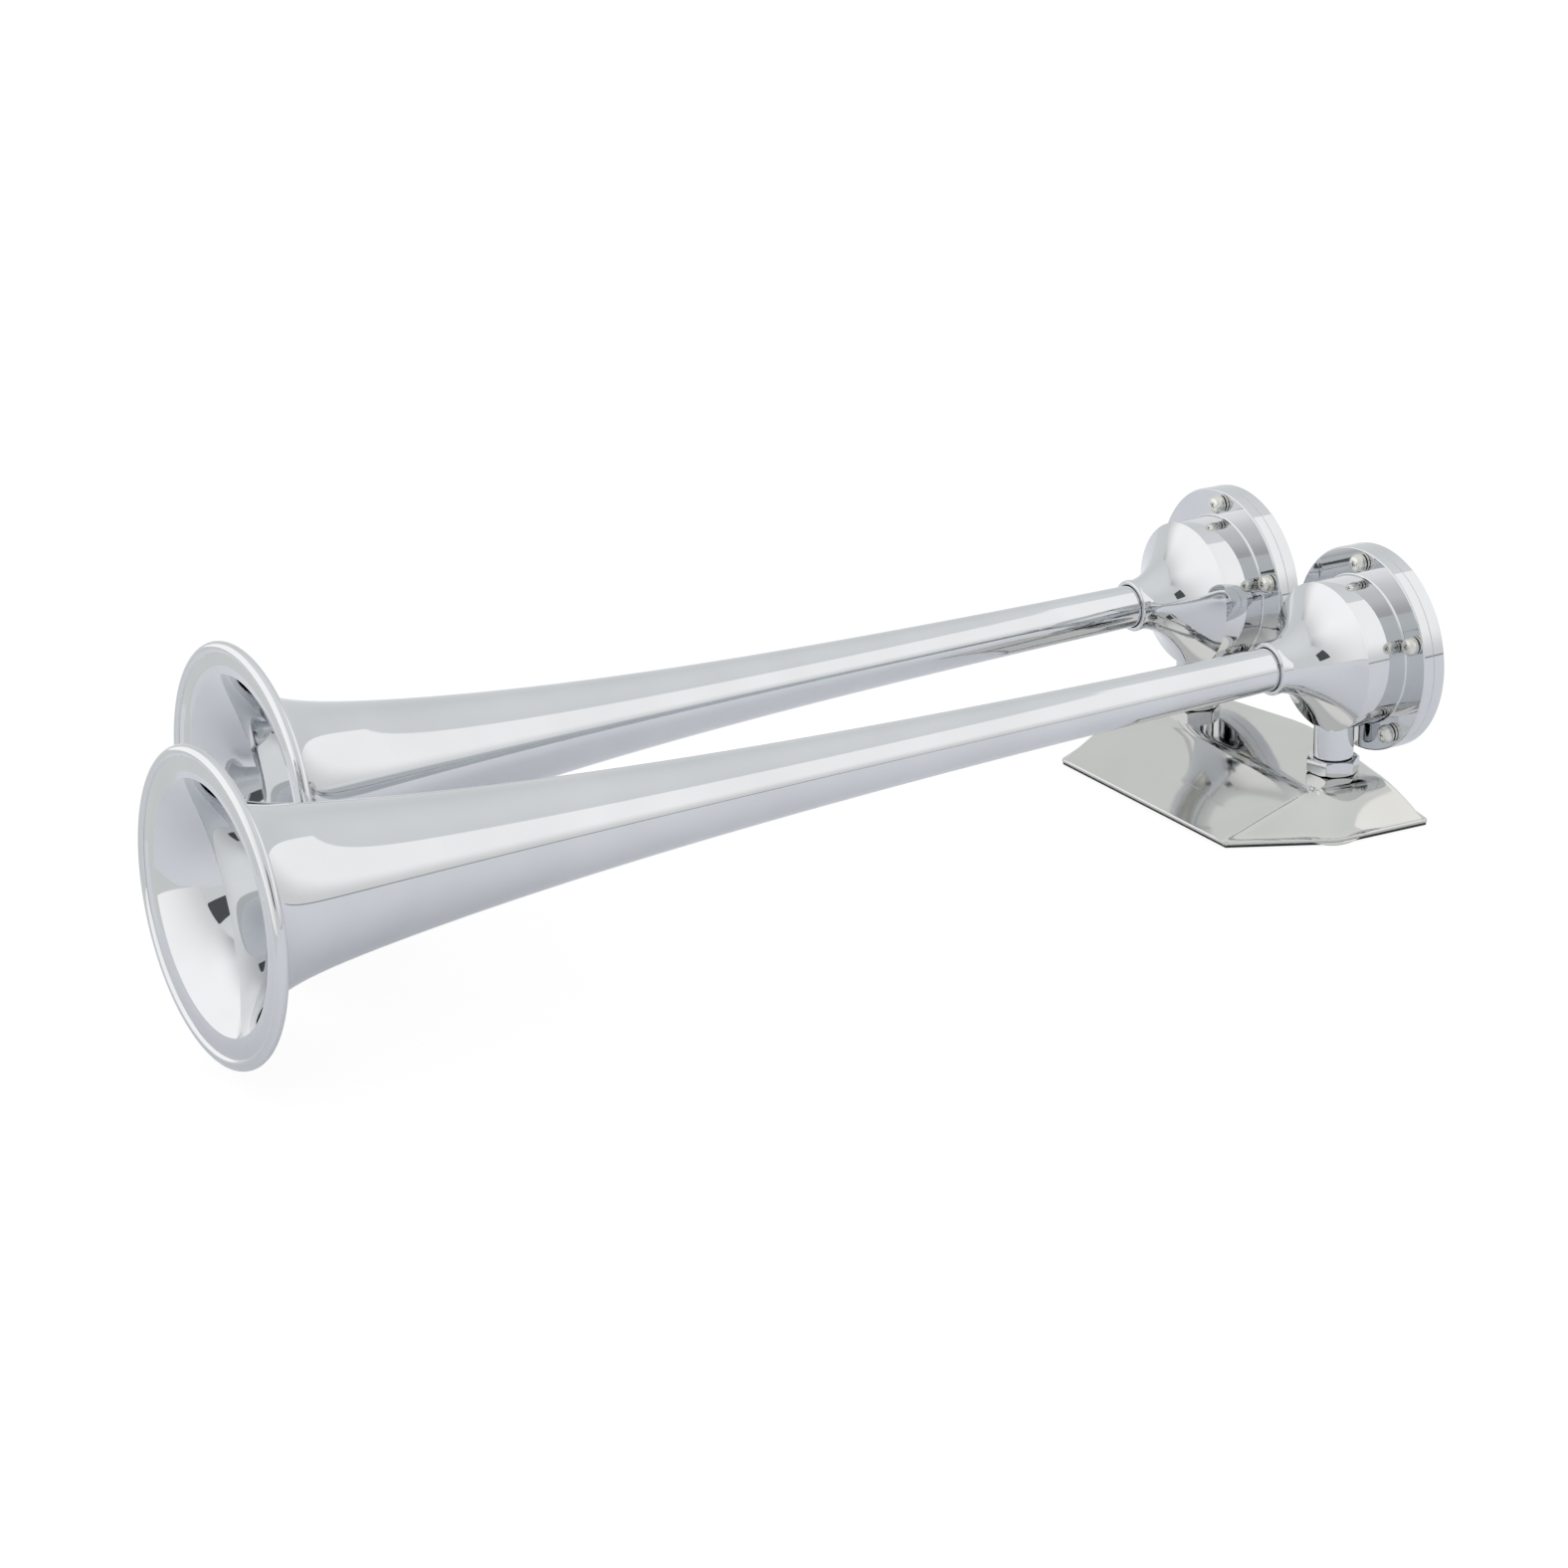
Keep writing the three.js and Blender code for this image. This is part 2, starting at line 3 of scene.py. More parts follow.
import bmesh
import bpy
from bpy.props import FloatProperty, FloatVectorProperty, IntProperty, PointerProperty
from bpy.types import Operator, Panel, PropertyGroup
from mathutils import Matrix, Quaternion, Vector


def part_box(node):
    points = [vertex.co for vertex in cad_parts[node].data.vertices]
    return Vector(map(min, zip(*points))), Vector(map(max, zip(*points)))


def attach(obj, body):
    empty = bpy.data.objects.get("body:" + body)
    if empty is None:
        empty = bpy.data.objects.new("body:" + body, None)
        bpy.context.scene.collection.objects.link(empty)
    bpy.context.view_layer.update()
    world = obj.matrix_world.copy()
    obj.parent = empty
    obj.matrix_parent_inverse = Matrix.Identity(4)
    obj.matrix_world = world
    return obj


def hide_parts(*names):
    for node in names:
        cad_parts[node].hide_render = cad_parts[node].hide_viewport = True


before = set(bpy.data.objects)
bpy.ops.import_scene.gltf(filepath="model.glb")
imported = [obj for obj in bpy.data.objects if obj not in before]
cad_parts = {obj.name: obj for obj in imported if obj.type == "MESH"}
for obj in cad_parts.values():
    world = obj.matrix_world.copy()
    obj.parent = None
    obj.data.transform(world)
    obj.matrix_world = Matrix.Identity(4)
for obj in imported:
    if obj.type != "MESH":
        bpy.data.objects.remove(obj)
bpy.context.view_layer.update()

bl_info = {
    "name": "Dual Trumpet Air Horn",
    "version": (1, 0, 0),
    "blender": (4, 5, 0),
    "location": "View3D > Sidebar > Air Horn",
    "description": "Builds the finished surfaces of a chromed air horn round its frame",
    "category": "Add Mesh",
}

HORNS = ("long", "short")
SCREWS = range(1, 6)
ALONG = Vector((1, 0, 0))
UP = Vector((0, 0, 1))
FULL_TURN = 2 * math.pi


class HornPlace:
    """Where one horn stands, read from the boxes of its nodes."""

    def __init__(self, name):
        bell_low, bell_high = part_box(f"{name}_trumpet")
        chamber_low, chamber_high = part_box(f"{name}_sound_chamber")
        cover_low, cover_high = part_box(f"{name}_rear_cover")
        nut_low, nut_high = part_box(f"{name}_jam_nut")
        self.name = name
        self.body = f"{name}_horn"
        self.y = (bell_low.y + bell_high.y) / 2
        self.axis_z = (cover_low.z + cover_high.z) / 2
        self.rim_x = bell_low.x
        self.tube_x = bell_high.x
        self.rim_radius = (bell_high.z - bell_low.z) / 2
        self.collar_x = chamber_low.x
        self.flange_rear_x = chamber_high.x
        self.post_bottom = chamber_low.z
        self.cover_front_x = cover_low.x
        self.cover_rear_x = cover_high.x
        self.flange_radius = (cover_high.z - cover_low.z) / 2
        self.post_x = (nut_low.x + nut_high.x) / 2

    def axis_point(self, x):
        return Vector((x, self.y, self.axis_z))

    def post_point(self):
        return Vector((self.post_x, self.y, 0))


PLACES = {name: HornPlace(name) for name in HORNS}
LONG = PLACES["long"]


def length_prop(name, description, default):
    return FloatProperty(
        name=name, description=description, default=default, unit="LENGTH", precision=5, min=0.0
    )


def corner_prop(name, default):
    return FloatVectorProperty(
        name=name, description="Corner on the +Y side, along X and Y", default=default,
        subtype="XYZ", unit="LENGTH", precision=5, size=2,
    )


def colour_prop(name, description, default):
    return FloatVectorProperty(
        name=name, description=description, default=default, subtype="COLOR", size=3, min=0, max=1
    )


class TrumpetSizes(PropertyGroup):
    wall: length_prop("Wall", "Thickness of the spun sheet", 0.0012)
    throat_radius: length_prop("Throat radius", "Outer radius at the collar", 0.0095)
    taper_radius: length_prop("Taper radius", "What the slow taper reaches at the rim", 0.0393)
    long_decay: length_prop("Long decay", "Decay length of the long horn's taper", 0.183)
    short_decay: length_prop("Short decay", "Decay length of the short horn's taper", 0.14)
    lip_radius: length_prop("Lip radius", "Where the bell meets the flat lip", 0.0553)
    flare_length: length_prop("Flare length", "Decay length of the last flare", 0.0125)
    bead_radius: length_prop("Bead radius", "Radius of the rolled edge", 0.0026)
    lip_setback: length_prop("Lip setback", "From the rolled edge's front to the lip", 0.0012)
    lip_rounding: length_prop("Lip rounding", "Soft edge between lip and bore", 0.0007)
    around: IntProperty(name="Steps around", description="Faces round the bell", default=192)
    along: IntProperty(name="Steps along", description="Faces along the taper", default=84)


class ChamberSizes(PropertyGroup):
    flange_thickness: length_prop("Flange", "Thickness of the flange", 0.0052)
    flange_edge: length_prop("Flange edge", "Rounding of the flange's edges", 0.0007)
    seam_edge: length_prop("Seam edge", "Rounding where flange and cover meet", 0.00012)
    seam_reach: length_prop("Seam reach", "How far each closes the gap between them", 0.00011)
    drum_radius: length_prop("Drum radius", "Drum between flange and dome", 0.033)
    drum_fillet: length_prop("Drum fillet", "Fillet between drum and flange", 0.0009)
    dome_radius: length_prop("Dome radius", "Largest radius of the dome", 0.0332)
    dome_front: length_prop("Dome place", "Dome's edge ahead of the flange", 0.0204)
    dome_lip: length_prop("Dome lip", "Width of the dome's overhanging lip", 0.0012)
    dome_edge: length_prop("Dome edge", "Rounding of the dome's lip", 0.0005)
    dome_bend: FloatProperty(
        name="Dome bend", description="How late the dome turns down to the neck", default=0.53
    )
    neck_radius: length_prop("Neck radius", "Smallest radius behind the collar", 0.0113)
    collar_radius: length_prop("Collar radius", "Bead at the neck's mouth", 0.0117)
    collar_width: length_prop("Collar width", "Length of that bead", 0.002)
    bore_gap: length_prop("Bore gap", "Gap round the trumpet in the neck", 0.00035)
    room_radius: length_prop("Room radius", "Inside radius of the air chamber", 0.0295)
    room_front: length_prop("Room depth", "Front of the air chamber ahead of the flange", 0.0335)
    boss_radius: length_prop("Boss radius", "Inner boss that carries the nozzle", 0.0128)
    boss_rear: length_prop("Boss place", "Rear of that boss ahead of the flange", 0.028)
    pocket_radius: length_prop("Pocket radius", "Pocket for the diaphragm", 0.0354)
    pocket_depth: length_prop("Pocket depth", "Depth of that pocket", 0.0022)
    cover_pocket: length_prop("Cover pocket", "Depth of the pocket in the cover", 0.0017)
    cover_room: length_prop("Cover room", "Depth of the room behind the diaphragm", 0.0044)
    cover_room_radius: length_prop("Cover room radius", "Radius of that room", 0.027)
    post_radius: length_prop("Post radius", "Round post below the drum", 0.0089)
    post_edge: length_prop("Post edge", "Rounding at the post's foot", 0.0006)
    cover_boss_radius: length_prop("Cover boss", "Raised middle of the rear cover", 0.03)
    cover_boss_slope: length_prop("Cover boss slope", "Width of that boss's slope", 0.003)
    cover_boss_height: length_prop("Cover boss height", "How far it stands out", 0.003)
    gasket_width: length_prop("Gasket width", "Width of the gasket rings", 0.005)
    inner_edge: length_prop("Inner edge", "Soft edge of the parts inside", 0.0003)
    nozzle_seat: length_prop("Nozzle seat", "Length of the nozzle's wide rear end", 0.0026)
    disc_wave: length_prop("Disc wave", "Rounding of the diaphragm's wave", 0.002)
    around: IntProperty(name="Steps around", description="Faces round the castings", default=160)


class FastenerSizes(PropertyGroup):
    pitch_radius: length_prop("Pitch radius", "Circle of the flange screws", 0.0398)
    seat_gap: length_prop("Seat gap", "Gap between clamped pieces", 0.0003)
    shank_radius: length_prop("Shank radius", "Flange screw's shank", 0.002)
    head_radius: length_prop("Head radius", "Flange screw's pan head", 0.0041)
    head_height: length_prop("Head height", "Height of that head", 0.0034)
    washer_thickness: length_prop("Lock washer", "Thickness of the lock washer", 0.0011)
    washer_radius: length_prop("Lock washer radius", "Its outer radius", 0.0039)
    washer_split: length_prop("Lock washer split", "Width of its slit", 0.0007)
    washer_gap: length_prop("Lock washer gap", "Gap between washer and shank", 0.0004)
    washer_edge: length_prop("Lock washer edge", "Rounding of its edges", 0.00018)
    recess_length: length_prop("Recess length", "Across the cross recess", 0.0044)
    recess_width: length_prop("Recess width", "Width of its arms", 0.0006)
    recess_depth: length_prop("Recess depth", "Depth of the cross recess", 0.0011)
    nut_flats: length_prop("Nut flats", "Hex nut across flats", 0.021)
    nut_turn: FloatProperty(name="Nut turn", description="Turn of the nuts, degrees", default=-22)
    nut_edge: length_prop("Nut edge", "Rounding of the nut's edges", 0.0004)
    stud_radius: length_prop("Stud radius", "Hollow stud's thread", 0.0068)
    stud_bore: length_prop("Stud bore", "Air way in the stud", 0.0036)
    thread_pitch: length_prop("Thread pitch", "Pitch of the stud's thread", 0.0015)
    thread_gap: length_prop("Thread gap", "Gap round shanks and studs in their holes", 0.00035)
    stud_reach: length_prop("Stud reach", "How far the stud's hole goes up the post", 0.014)
    ring_edge: length_prop("Ring edge", "Soft edge of washers and turned parts", 0.0003)
    overrun: length_prop("Overrun", "How far cutters stand out of what they cut", 0.001)


class BaseSizes(PropertyGroup):
    sheet: length_prop("Sheet", "Thickness of the pressed sheet", 0.0012)
    lip_height: length_prop("Lip", "Upright edge of the foot", 0.0015)
    foot_front: corner_prop("Foot front", (-0.0668, 0.0625))
    foot_bend: corner_prop("Foot bend", (-0.0225, 0.086))
    foot_rear: corner_prop("Foot rear", (0.025, 0.0884))
    foot_point: length_prop("Foot point", "Middle of the foot's rear behind the posts", 0.043)
    plateau_front: corner_prop("Plateau front", (-0.0236, 0.0675))
    plateau_bend: corner_prop("Plateau bend", (-0.017, 0.0686))
    plateau_rear: corner_prop("Plateau rear", (0.0127, 0.0727))
    plateau_point: length_prop("Plateau point", "Middle of the plateau's rear", 0.0277)
    plateau_blend: length_prop("Plateau blend", "Softness of the plateau's edges", 0.0014)
    ridge_blend: length_prop("Ridge blend", "Softness of the long ridges", 0.002)
    end_blend: length_prop("End blend", "Softness of the ridges in the ends", 0.006)
    corner_rounding: length_prop("Foot corner", "Rounding of the foot's corners", 0.0018)
    lip_width: length_prop("Lip width", "Where the slopes turn out into the lip", 0.002)
    lip_slope: FloatProperty(name="Lip slope", description="Rise of the lip's top", default=0.25)
    lip_blend: length_prop("Lip blend", "Softness of that turn", 0.0016)
    gasket_edge: length_prop("Gasket edge", "Rounding of the gasket's edges", 0.0003)
    bulge: FloatProperty(name="Bulge", description="Swelling of the slopes", default=0.05)


class Finishes(PropertyGroup):
    chrome: colour_prop("Chrome", "Colour of the chrome plate", (0.73, 0.742, 0.76))
    sheet: colour_prop("Base sheet", "Colour of the polished base", (0.69, 0.685, 0.66))
    zinc: colour_prop("Zinc steel", "Colour of the screws and washers", (0.79, 0.775, 0.735))
    brass: colour_prop("Brass", "Colour of the studs and nozzles", (0.72, 0.55, 0.28))
    spring: colour_prop("Spring steel", "Colour of the diaphragms", (0.45, 0.46, 0.48))
    rubber: colour_prop("Rubber", "Colour of the gaskets", (0.02, 0.02, 0.021))


class StudioSettings(PropertyGroup):
    azimuth: FloatProperty(name="Azimuth", description="Camera azimuth", default=-31.224)
    elevation: FloatProperty(name="Elevation", description="Camera elevation", default=20.751)
    roll: FloatProperty(name="Roll", description="Camera roll", default=-0.649)
    distance: length_prop("Distance", "Camera to its target", 1.9897)
    target: FloatVectorProperty(
        name="Target", description="What the camera points at", size=3, subtype="TRANSLATION",
        default=(-0.2525, 0.0, 0.04865),
    )
    lens: FloatProperty(name="Lens", description="Focal length in millimetres", default=108.1)


class AirHornSettings(PropertyGroup):
    trumpet: PointerProperty(type=TrumpetSizes)
    chamber: PointerProperty(type=ChamberSizes)
    fastener: PointerProperty(type=FastenerSizes)
    base: PointerProperty(type=BaseSizes)
    finish: PointerProperty(type=Finishes)
    studio: PointerProperty(type=StudioSettings)


# Outlines and solids


def rounded_corners(bm, verts, rounding, segments):
    """Rounds corners of a flat outline."""
    bmesh.ops.bevel(
        bm, geom=verts, offset=rounding, offset_type="OFFSET", segments=segments, profile=0.5,
        affect="VERTICES", clamp_overlap=False, material=-1,
    )


def rounded_edges(bm, edges, rounding):
    """Rounds edges of a solid."""
    bmesh.ops.bevel(
        bm, geom=edges, offset=rounding, offset_type="OFFSET", segments=3, profile=0.5,
        affect="EDGES", clamp_overlap=True, material=-1,
    )


def outline_loop(bm, corners, origin, radial, axis, closed=True):
    """Draws an outline of (radius, distance, rounding) corners and rounds those that ask for it."""
    verts = [bm.verts.new(origin + radial * r + axis * d) for r, d, _ in corners]
    pairs = list(zip(verts, verts[1:]))
    if closed:
        pairs.append((verts[-1], verts[0]))
    for pair in pairs:
        bm.edges.new(pair)
    for rounding in sorted({c[2] for c in corners if c[2] > 0}):
        chosen = [v for v, c in zip(verts, corners) if c[2] == rounding]
        rounded_corners(bm, chosen, rounding, 6)


def spun(corners, origin, radial, axis, steps, closed=True):
    """A bmesh solid of an outline turned once round an axis."""
    bm = bmesh.new()
    outline_loop(bm, corners, origin, radial, axis, closed)
    bmesh.ops.spin(
        bm, geom=list(bm.verts) + list(bm.edges), cent=origin, axis=axis, dvec=(0, 0, 0),
        angle=FULL_TURN, steps=steps, use_merge=True,
    )
    bmesh.ops.remove_doubles(bm, verts=bm.verts, dist=1e-7)
    bmesh.ops.recalc_face_normals(bm, faces=bm.faces)
    return bm


def turned_along(corners, place, x, steps, closed=True):
    """Turned about a horn's axis: distances run ahead of x, towards the bell."""
    return spun(corners, place.axis_point(x), UP, -ALONG, steps, closed)


def turned_up(corners, point, steps, closed=True):
    """Turned about a vertical line through a point: distances are heights."""
    return spun(corners, point, ALONG, UP, steps, closed)


def mesh_object(name, bm):
    mesh = bpy.data.meshes.new(name)
    bm.to_mesh(mesh)
    bm.free()
    piece = bpy.data.objects.new(name, mesh)
    bpy.context.scene.collection.objects.link(piece)
    return piece


def carved(name, bm, cutters=(), joins=(), keeps=()):
    """A mesh object after its cutters are taken away, its joins added and its keeps intersected."""
    piece = mesh_object(name, bm)
    tools = []
    for operation, solids in (("UNION", joins), ("INTERSECT", keeps), ("DIFFERENCE", cutters)):
        for solid in solids:
            tool = mesh_object("tool", solid)
            tools.append(tool)
            modifier = piece.modifiers.new("boolean", "BOOLEAN")
            modifier.operation = operation
            modifier.solver = "EXACT"
            modifier.object = tool
    apply_modifiers(piece)
    for tool in tools:
        mesh = tool.data
        bpy.data.objects.remove(tool)
        bpy.data.meshes.remove(mesh)
    return piece


def apply_modifiers(piece):
    graph = bpy.context.evaluated_depsgraph_get()
    graph.update()
    made = bpy.data.meshes.new_from_object(piece.evaluated_get(graph))
    old = piece.data
    piece.modifiers.clear()
    piece.data = made
    made.name = piece.name
    bpy.data.meshes.remove(old)


SHARP_ANGLE = 28


def finish_piece(piece, body, slot, node):
    """Shades a piece smoothly up to its sharp edges, and gives it its finish and its body."""
    mesh = piece.data
    mesh.polygons.foreach_set("use_smooth", [True] * len(mesh.polygons))
    mesh.set_sharp_from_angle(angle=math.radians(SHARP_ANGLE))
    weighted = piece.modifiers.new("weighted_normals", "WEIGHTED_NORMAL")
    weighted.mode = "FACE_AREA"
    weighted.keep_sharp = True
    mesh.materials.clear()
    mesh.materials.append(finishes()[slot])
    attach(piece, body)
    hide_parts(node)


# Materials


class Shader:
    """A small helper that adds nodes to a material and links them."""

    def __init__(self, name):
        self.material = bpy.data.materials.new(name)
        self.material.use_nodes = True
        self.tree = self.material.node_tree
        self.surface = self.tree.nodes["Principled BSDF"]
        self.coords = self.tree.nodes.new("ShaderNodeTexCoord")

    def node(self, kind, **settings):
        node = self.tree.nodes.new(kind)
        for key, value in settings.items():
            setattr(node, key, value)
        return node

    def link(self, source, target):
        self.tree.links.new(source, target)

    def noise(self, scale, detail, stretch=(1, 1, 1)):
        mapping = self.node("ShaderNodeMapping")
        mapping.inputs["Scale"].default_value = stretch
        self.link(self.coords.outputs["Object"], mapping.inputs["Vector"])
        noise = self.node("ShaderNodeTexNoise")
        noise.inputs["Scale"].default_value = scale
        noise.inputs["Detail"].default_value = detail
        self.link(mapping.outputs["Vector"], noise.inputs["Vector"])
        return noise.outputs["Fac"]

    def spread(self, source, low, high, source_low=0.3, source_high=0.7):
        between = self.node("ShaderNodeMapRange")
        between.inputs["From Min"].default_value = source_low
        between.inputs["From Max"].default_value = source_high
        between.inputs["To Min"].default_value = low
        between.inputs["To Max"].default_value = high
        self.link(source, between.inputs["Value"])
        return between.outputs["Result"]

    def bump(self, height, distance, strength=1.0):
        bump = self.node("ShaderNodeBump")
        bump.inputs["Strength"].default_value = strength
        bump.inputs["Distance"].default_value = distance
        self.link(height, bump.inputs["Height"])
        self.link(bump.outputs["Normal"], self.surface.inputs["Normal"])

    def tint(self, source, colour, other):
        mix = self.node("ShaderNodeMix", data_type="RGBA")
        mix.inputs["A"].default_value = (*colour, 1)
        mix.inputs["B"].default_value = (*other, 1)
        self.link(source, mix.inputs["Factor"])
        self.link(mix.outputs["Result"], self.surface.inputs["Base Color"])


def scaled(colour, factor):
    return tuple(min(1.0, c * factor) for c in colour)


def metal(name, colour, roughness, spread, grain, grain_depth, shade=0.94):
    """A plated or polished metal: faint clouds of tone and gloss over a very shallow grain."""
    shader = Shader(name)
    shader.surface.inputs["Metallic"].default_value = 1.0
    clouds = shader.noise(scale=24.0, detail=3.0)
    shader.link(
        shader.spread(clouds, roughness, roughness + spread), shader.surface.inputs["Roughness"]
    )
    shader.tint(shader.spread(clouds, 0.0, 1.0), colour, scaled(colour, shade))
    shader.bump(shader.noise(scale=grain, detail=2.0), grain_depth)
    return shader.material


def rubber(name, colour):
    shader = Shader(name)
    shader.surface.inputs["Roughness"].default_value = 0.75
    speckle = shader.noise(scale=900.0, detail=2.0)
    shader.tint(shader.spread(speckle, 0.0, 1.0), colour, scaled(colour, 1.6))
    shader.bump(speckle, 0.00008)
    return shader.material


MADE = {}


def finishes():
    """The materials by slot, made once."""
    if "materials" not in MADE:
        look = bpy.context.scene.air_horn.finish
        MADE["materials"] = {
            "chrome": metal("chrome_plate", look.chrome, 0.03, 0.02, 90.0, 0.000004),
            "base_chrome": metal("polished_sheet", look.sheet, 0.06, 0.03, 60.0, 0.00001),
            "zinc_steel": metal("zinc_plate", look.zinc, 0.24, 0.1, 1200.0, 0.00001, 0.85),
            "brass": metal("turned_brass", look.brass, 0.25, 0.12, 700.0, 0.00001, 0.8),
            "spring_steel": metal("rolled_steel", look.spring, 0.25, 0.1, 500.0, 0.00001, 0.85),
            "black_rubber": rubber("black_rubber", look.rubber),
        }
    return MADE["materials"]


# Trumpets


def trumpet_radius(sizes, behind, reach, decay):
    """Outer radius of a trumpet at a distance behind the front of its rim."""
    at_collar = math.exp(-reach / decay)
    gain = (sizes.taper_radius - sizes.throat_radius) / (1 - at_collar)
    taper = gain * (math.exp(-behind / decay) - at_collar)
    flare = (sizes.lip_radius - sizes.taper_radius) * math.exp(-behind / sizes.flare_length)
    return sizes.throat_radius + max(taper, 0) + flare


def trumpet_outline(sizes, place):
    """Closed outline of a trumpet as (radius, distance behind the rim, rounding)."""
    decay = sizes.long_decay if place.name == "long" else sizes.short_decay
    reach = place.collar_x - place.rim_x
    end = place.tube_x - place.rim_x
    wall = sizes.wall
    lip_front = sizes.lip_setback
    lip_rear = lip_front + wall
    crowding = 2.4
    outer = []
    for i in range(sizes.along + 1):
        d = lip_rear + (reach - lip_rear) * (i / sizes.along) ** crowding
        outer.append((trumpet_radius(sizes, d, reach, decay), d))
    inner = []
    for (r, d), (r_next, d_next) in zip(outer, outer[1:]):
        slope = math.atan2(r - r_next, d_next - d)
        inner.append((r - wall * math.cos(slope), d - wall * math.sin(slope)))
    inner = [(r, d) for r, d in inner if d > lip_front + wall / 2]
    bead = sizes.bead_radius
    centre = place.rim_radius - bead
    start = -math.acos((bead - lip_front) / bead)
    stop = FULL_TURN - math.acos((bead - lip_rear) / bead)
    bead_steps = 40
    edge = []
    for i in range(bead_steps + 1):
        angle = start + (stop - start) * i / bead_steps
        edge.append((centre + bead * math.sin(angle), bead - bead * math.cos(angle)))
    bore = sizes.throat_radius - wall
    lip_edge = sizes.lip_radius - wall
    corners = [(bore, end, 0)]
    corners += [(r, d, 0) for r, d in reversed(inner)]
    corners += [(lip_edge, lip_front, sizes.lip_rounding)]
    corners += [(r, d, 0) for r, d in edge]
    corners += [(r, d, 0) for r, d in outer]
    corners += [(sizes.throat_radius, end, 0)]
    return corners


class AIRHORN_OT_trumpets(Operator):
    """Spins the two trumpets with their flat lips and rolled edges"""

    bl_idname = "airhorn.trumpets"
    bl_label = "Trumpets"

    def execute(self, context):
        sizes = context.scene.air_horn.trumpet
        for place in PLACES.values():
            outline = [(r, -d, e) for r, d, e in trumpet_outline(sizes, place)]
            bm = turned_along(outline, place, place.rim_x, sizes.around)
            piece = mesh_object(f"{place.name}_trumpet_spun", bm)
            finish_piece(piece, place.body, "chrome", f"{place.name}_trumpet")
        return {"FINISHED"}


# Sound chambers and rear covers


def dome_points(sizes, steps=36):
    """The dome's outside from its lip down to the neck, as (radius, ahead)."""
    depth = LONG.flange_rear_x - sizes.flange_thickness - LONG.collar_x
    depth -= sizes.collar_width + sizes.dome_front
    points = []
    for i in range(1, steps + 1):
        share = i / steps
        fall = (1 + math.cos(math.pi * share**sizes.dome_bend)) / 2
        radius = sizes.neck_radius + fall * (sizes.dome_radius - sizes.neck_radius)
        points.append((radius, sizes.dome_front + share * depth))
    return points


def chamber_outline(sizes, place, throat_radius):
    """Closed outline of the casting as (radius, ahead of the flange's front, rounding)."""
    flange_front = place.flange_rear_x - sizes.flange_thickness
    collar_front = flange_front - place.collar_x
    rear = -sizes.flange_thickness - sizes.seam_reach
    edge = sizes.flange_edge
    lip_rear = sizes.dome_front - sizes.dome_lip
    neck_bore = throat_radius + sizes.bore_gap
    collar_round = (sizes.collar_radius - neck_bore) * 0.45
    pocket_floor = sizes.pocket_depth - sizes.flange_thickness
    room = sizes.room_radius
    room_depth = sizes.room_front - lip_rear
    corners = [
        (sizes.pocket_radius, rear, 0),
        (place.flange_radius, rear, sizes.seam_edge),
        (place.flange_radius, 0, edge),
        (sizes.drum_radius, 0, sizes.drum_fillet),
        (sizes.drum_radius, lip_rear, sizes.dome_edge / 2),
        (sizes.dome_radius, lip_rear, sizes.dome_edge),
        (sizes.dome_radius, sizes.dome_front, 0),
    ]
    corners += [(r, d, 0) for r, d in dome_points(sizes)]
    corners += [
        (sizes.collar_radius, collar_front - sizes.collar_width, 0),
        (sizes.collar_radius, collar_front, collar_round),
        (neck_bore, collar_front, collar_round / 3),
        (neck_bore, sizes.boss_rear, 0),
        (sizes.boss_radius, sizes.boss_rear, 0),
        (sizes.boss_radius, sizes.room_front, 0),
        (room * 0.5, lip_rear + 0.96 * room_depth, 0.001),
        (room * 0.75, lip_rear + 0.5 * room_depth, 0.001),
        (room, lip_rear, 0.001),
        (room, pocket_floor, 0),
        (sizes.pocket_radius, pocket_floor, 0),
    ]
    return corners


def screw_points(sizes, place, x):
    """Centres of the flange screws at x, in the order of their nodes."""
    points = []
    for index in SCREWS:
        angle = math.pi / 2 + (index - 1) * FULL_TURN / len(SCREWS)
        offset = Vector((0, math.cos(angle), math.sin(angle))) * sizes.pitch_radius
        points.append(place.axis_point(x) + offset)
    return points


def screw_hole(point, radius, length):
    corners = [(0, -length, 0), (radius, -length, 0), (radius, length, 0), (0, length, 0)]
    return spun(corners, point, UP, ALONG, 24, closed=False)


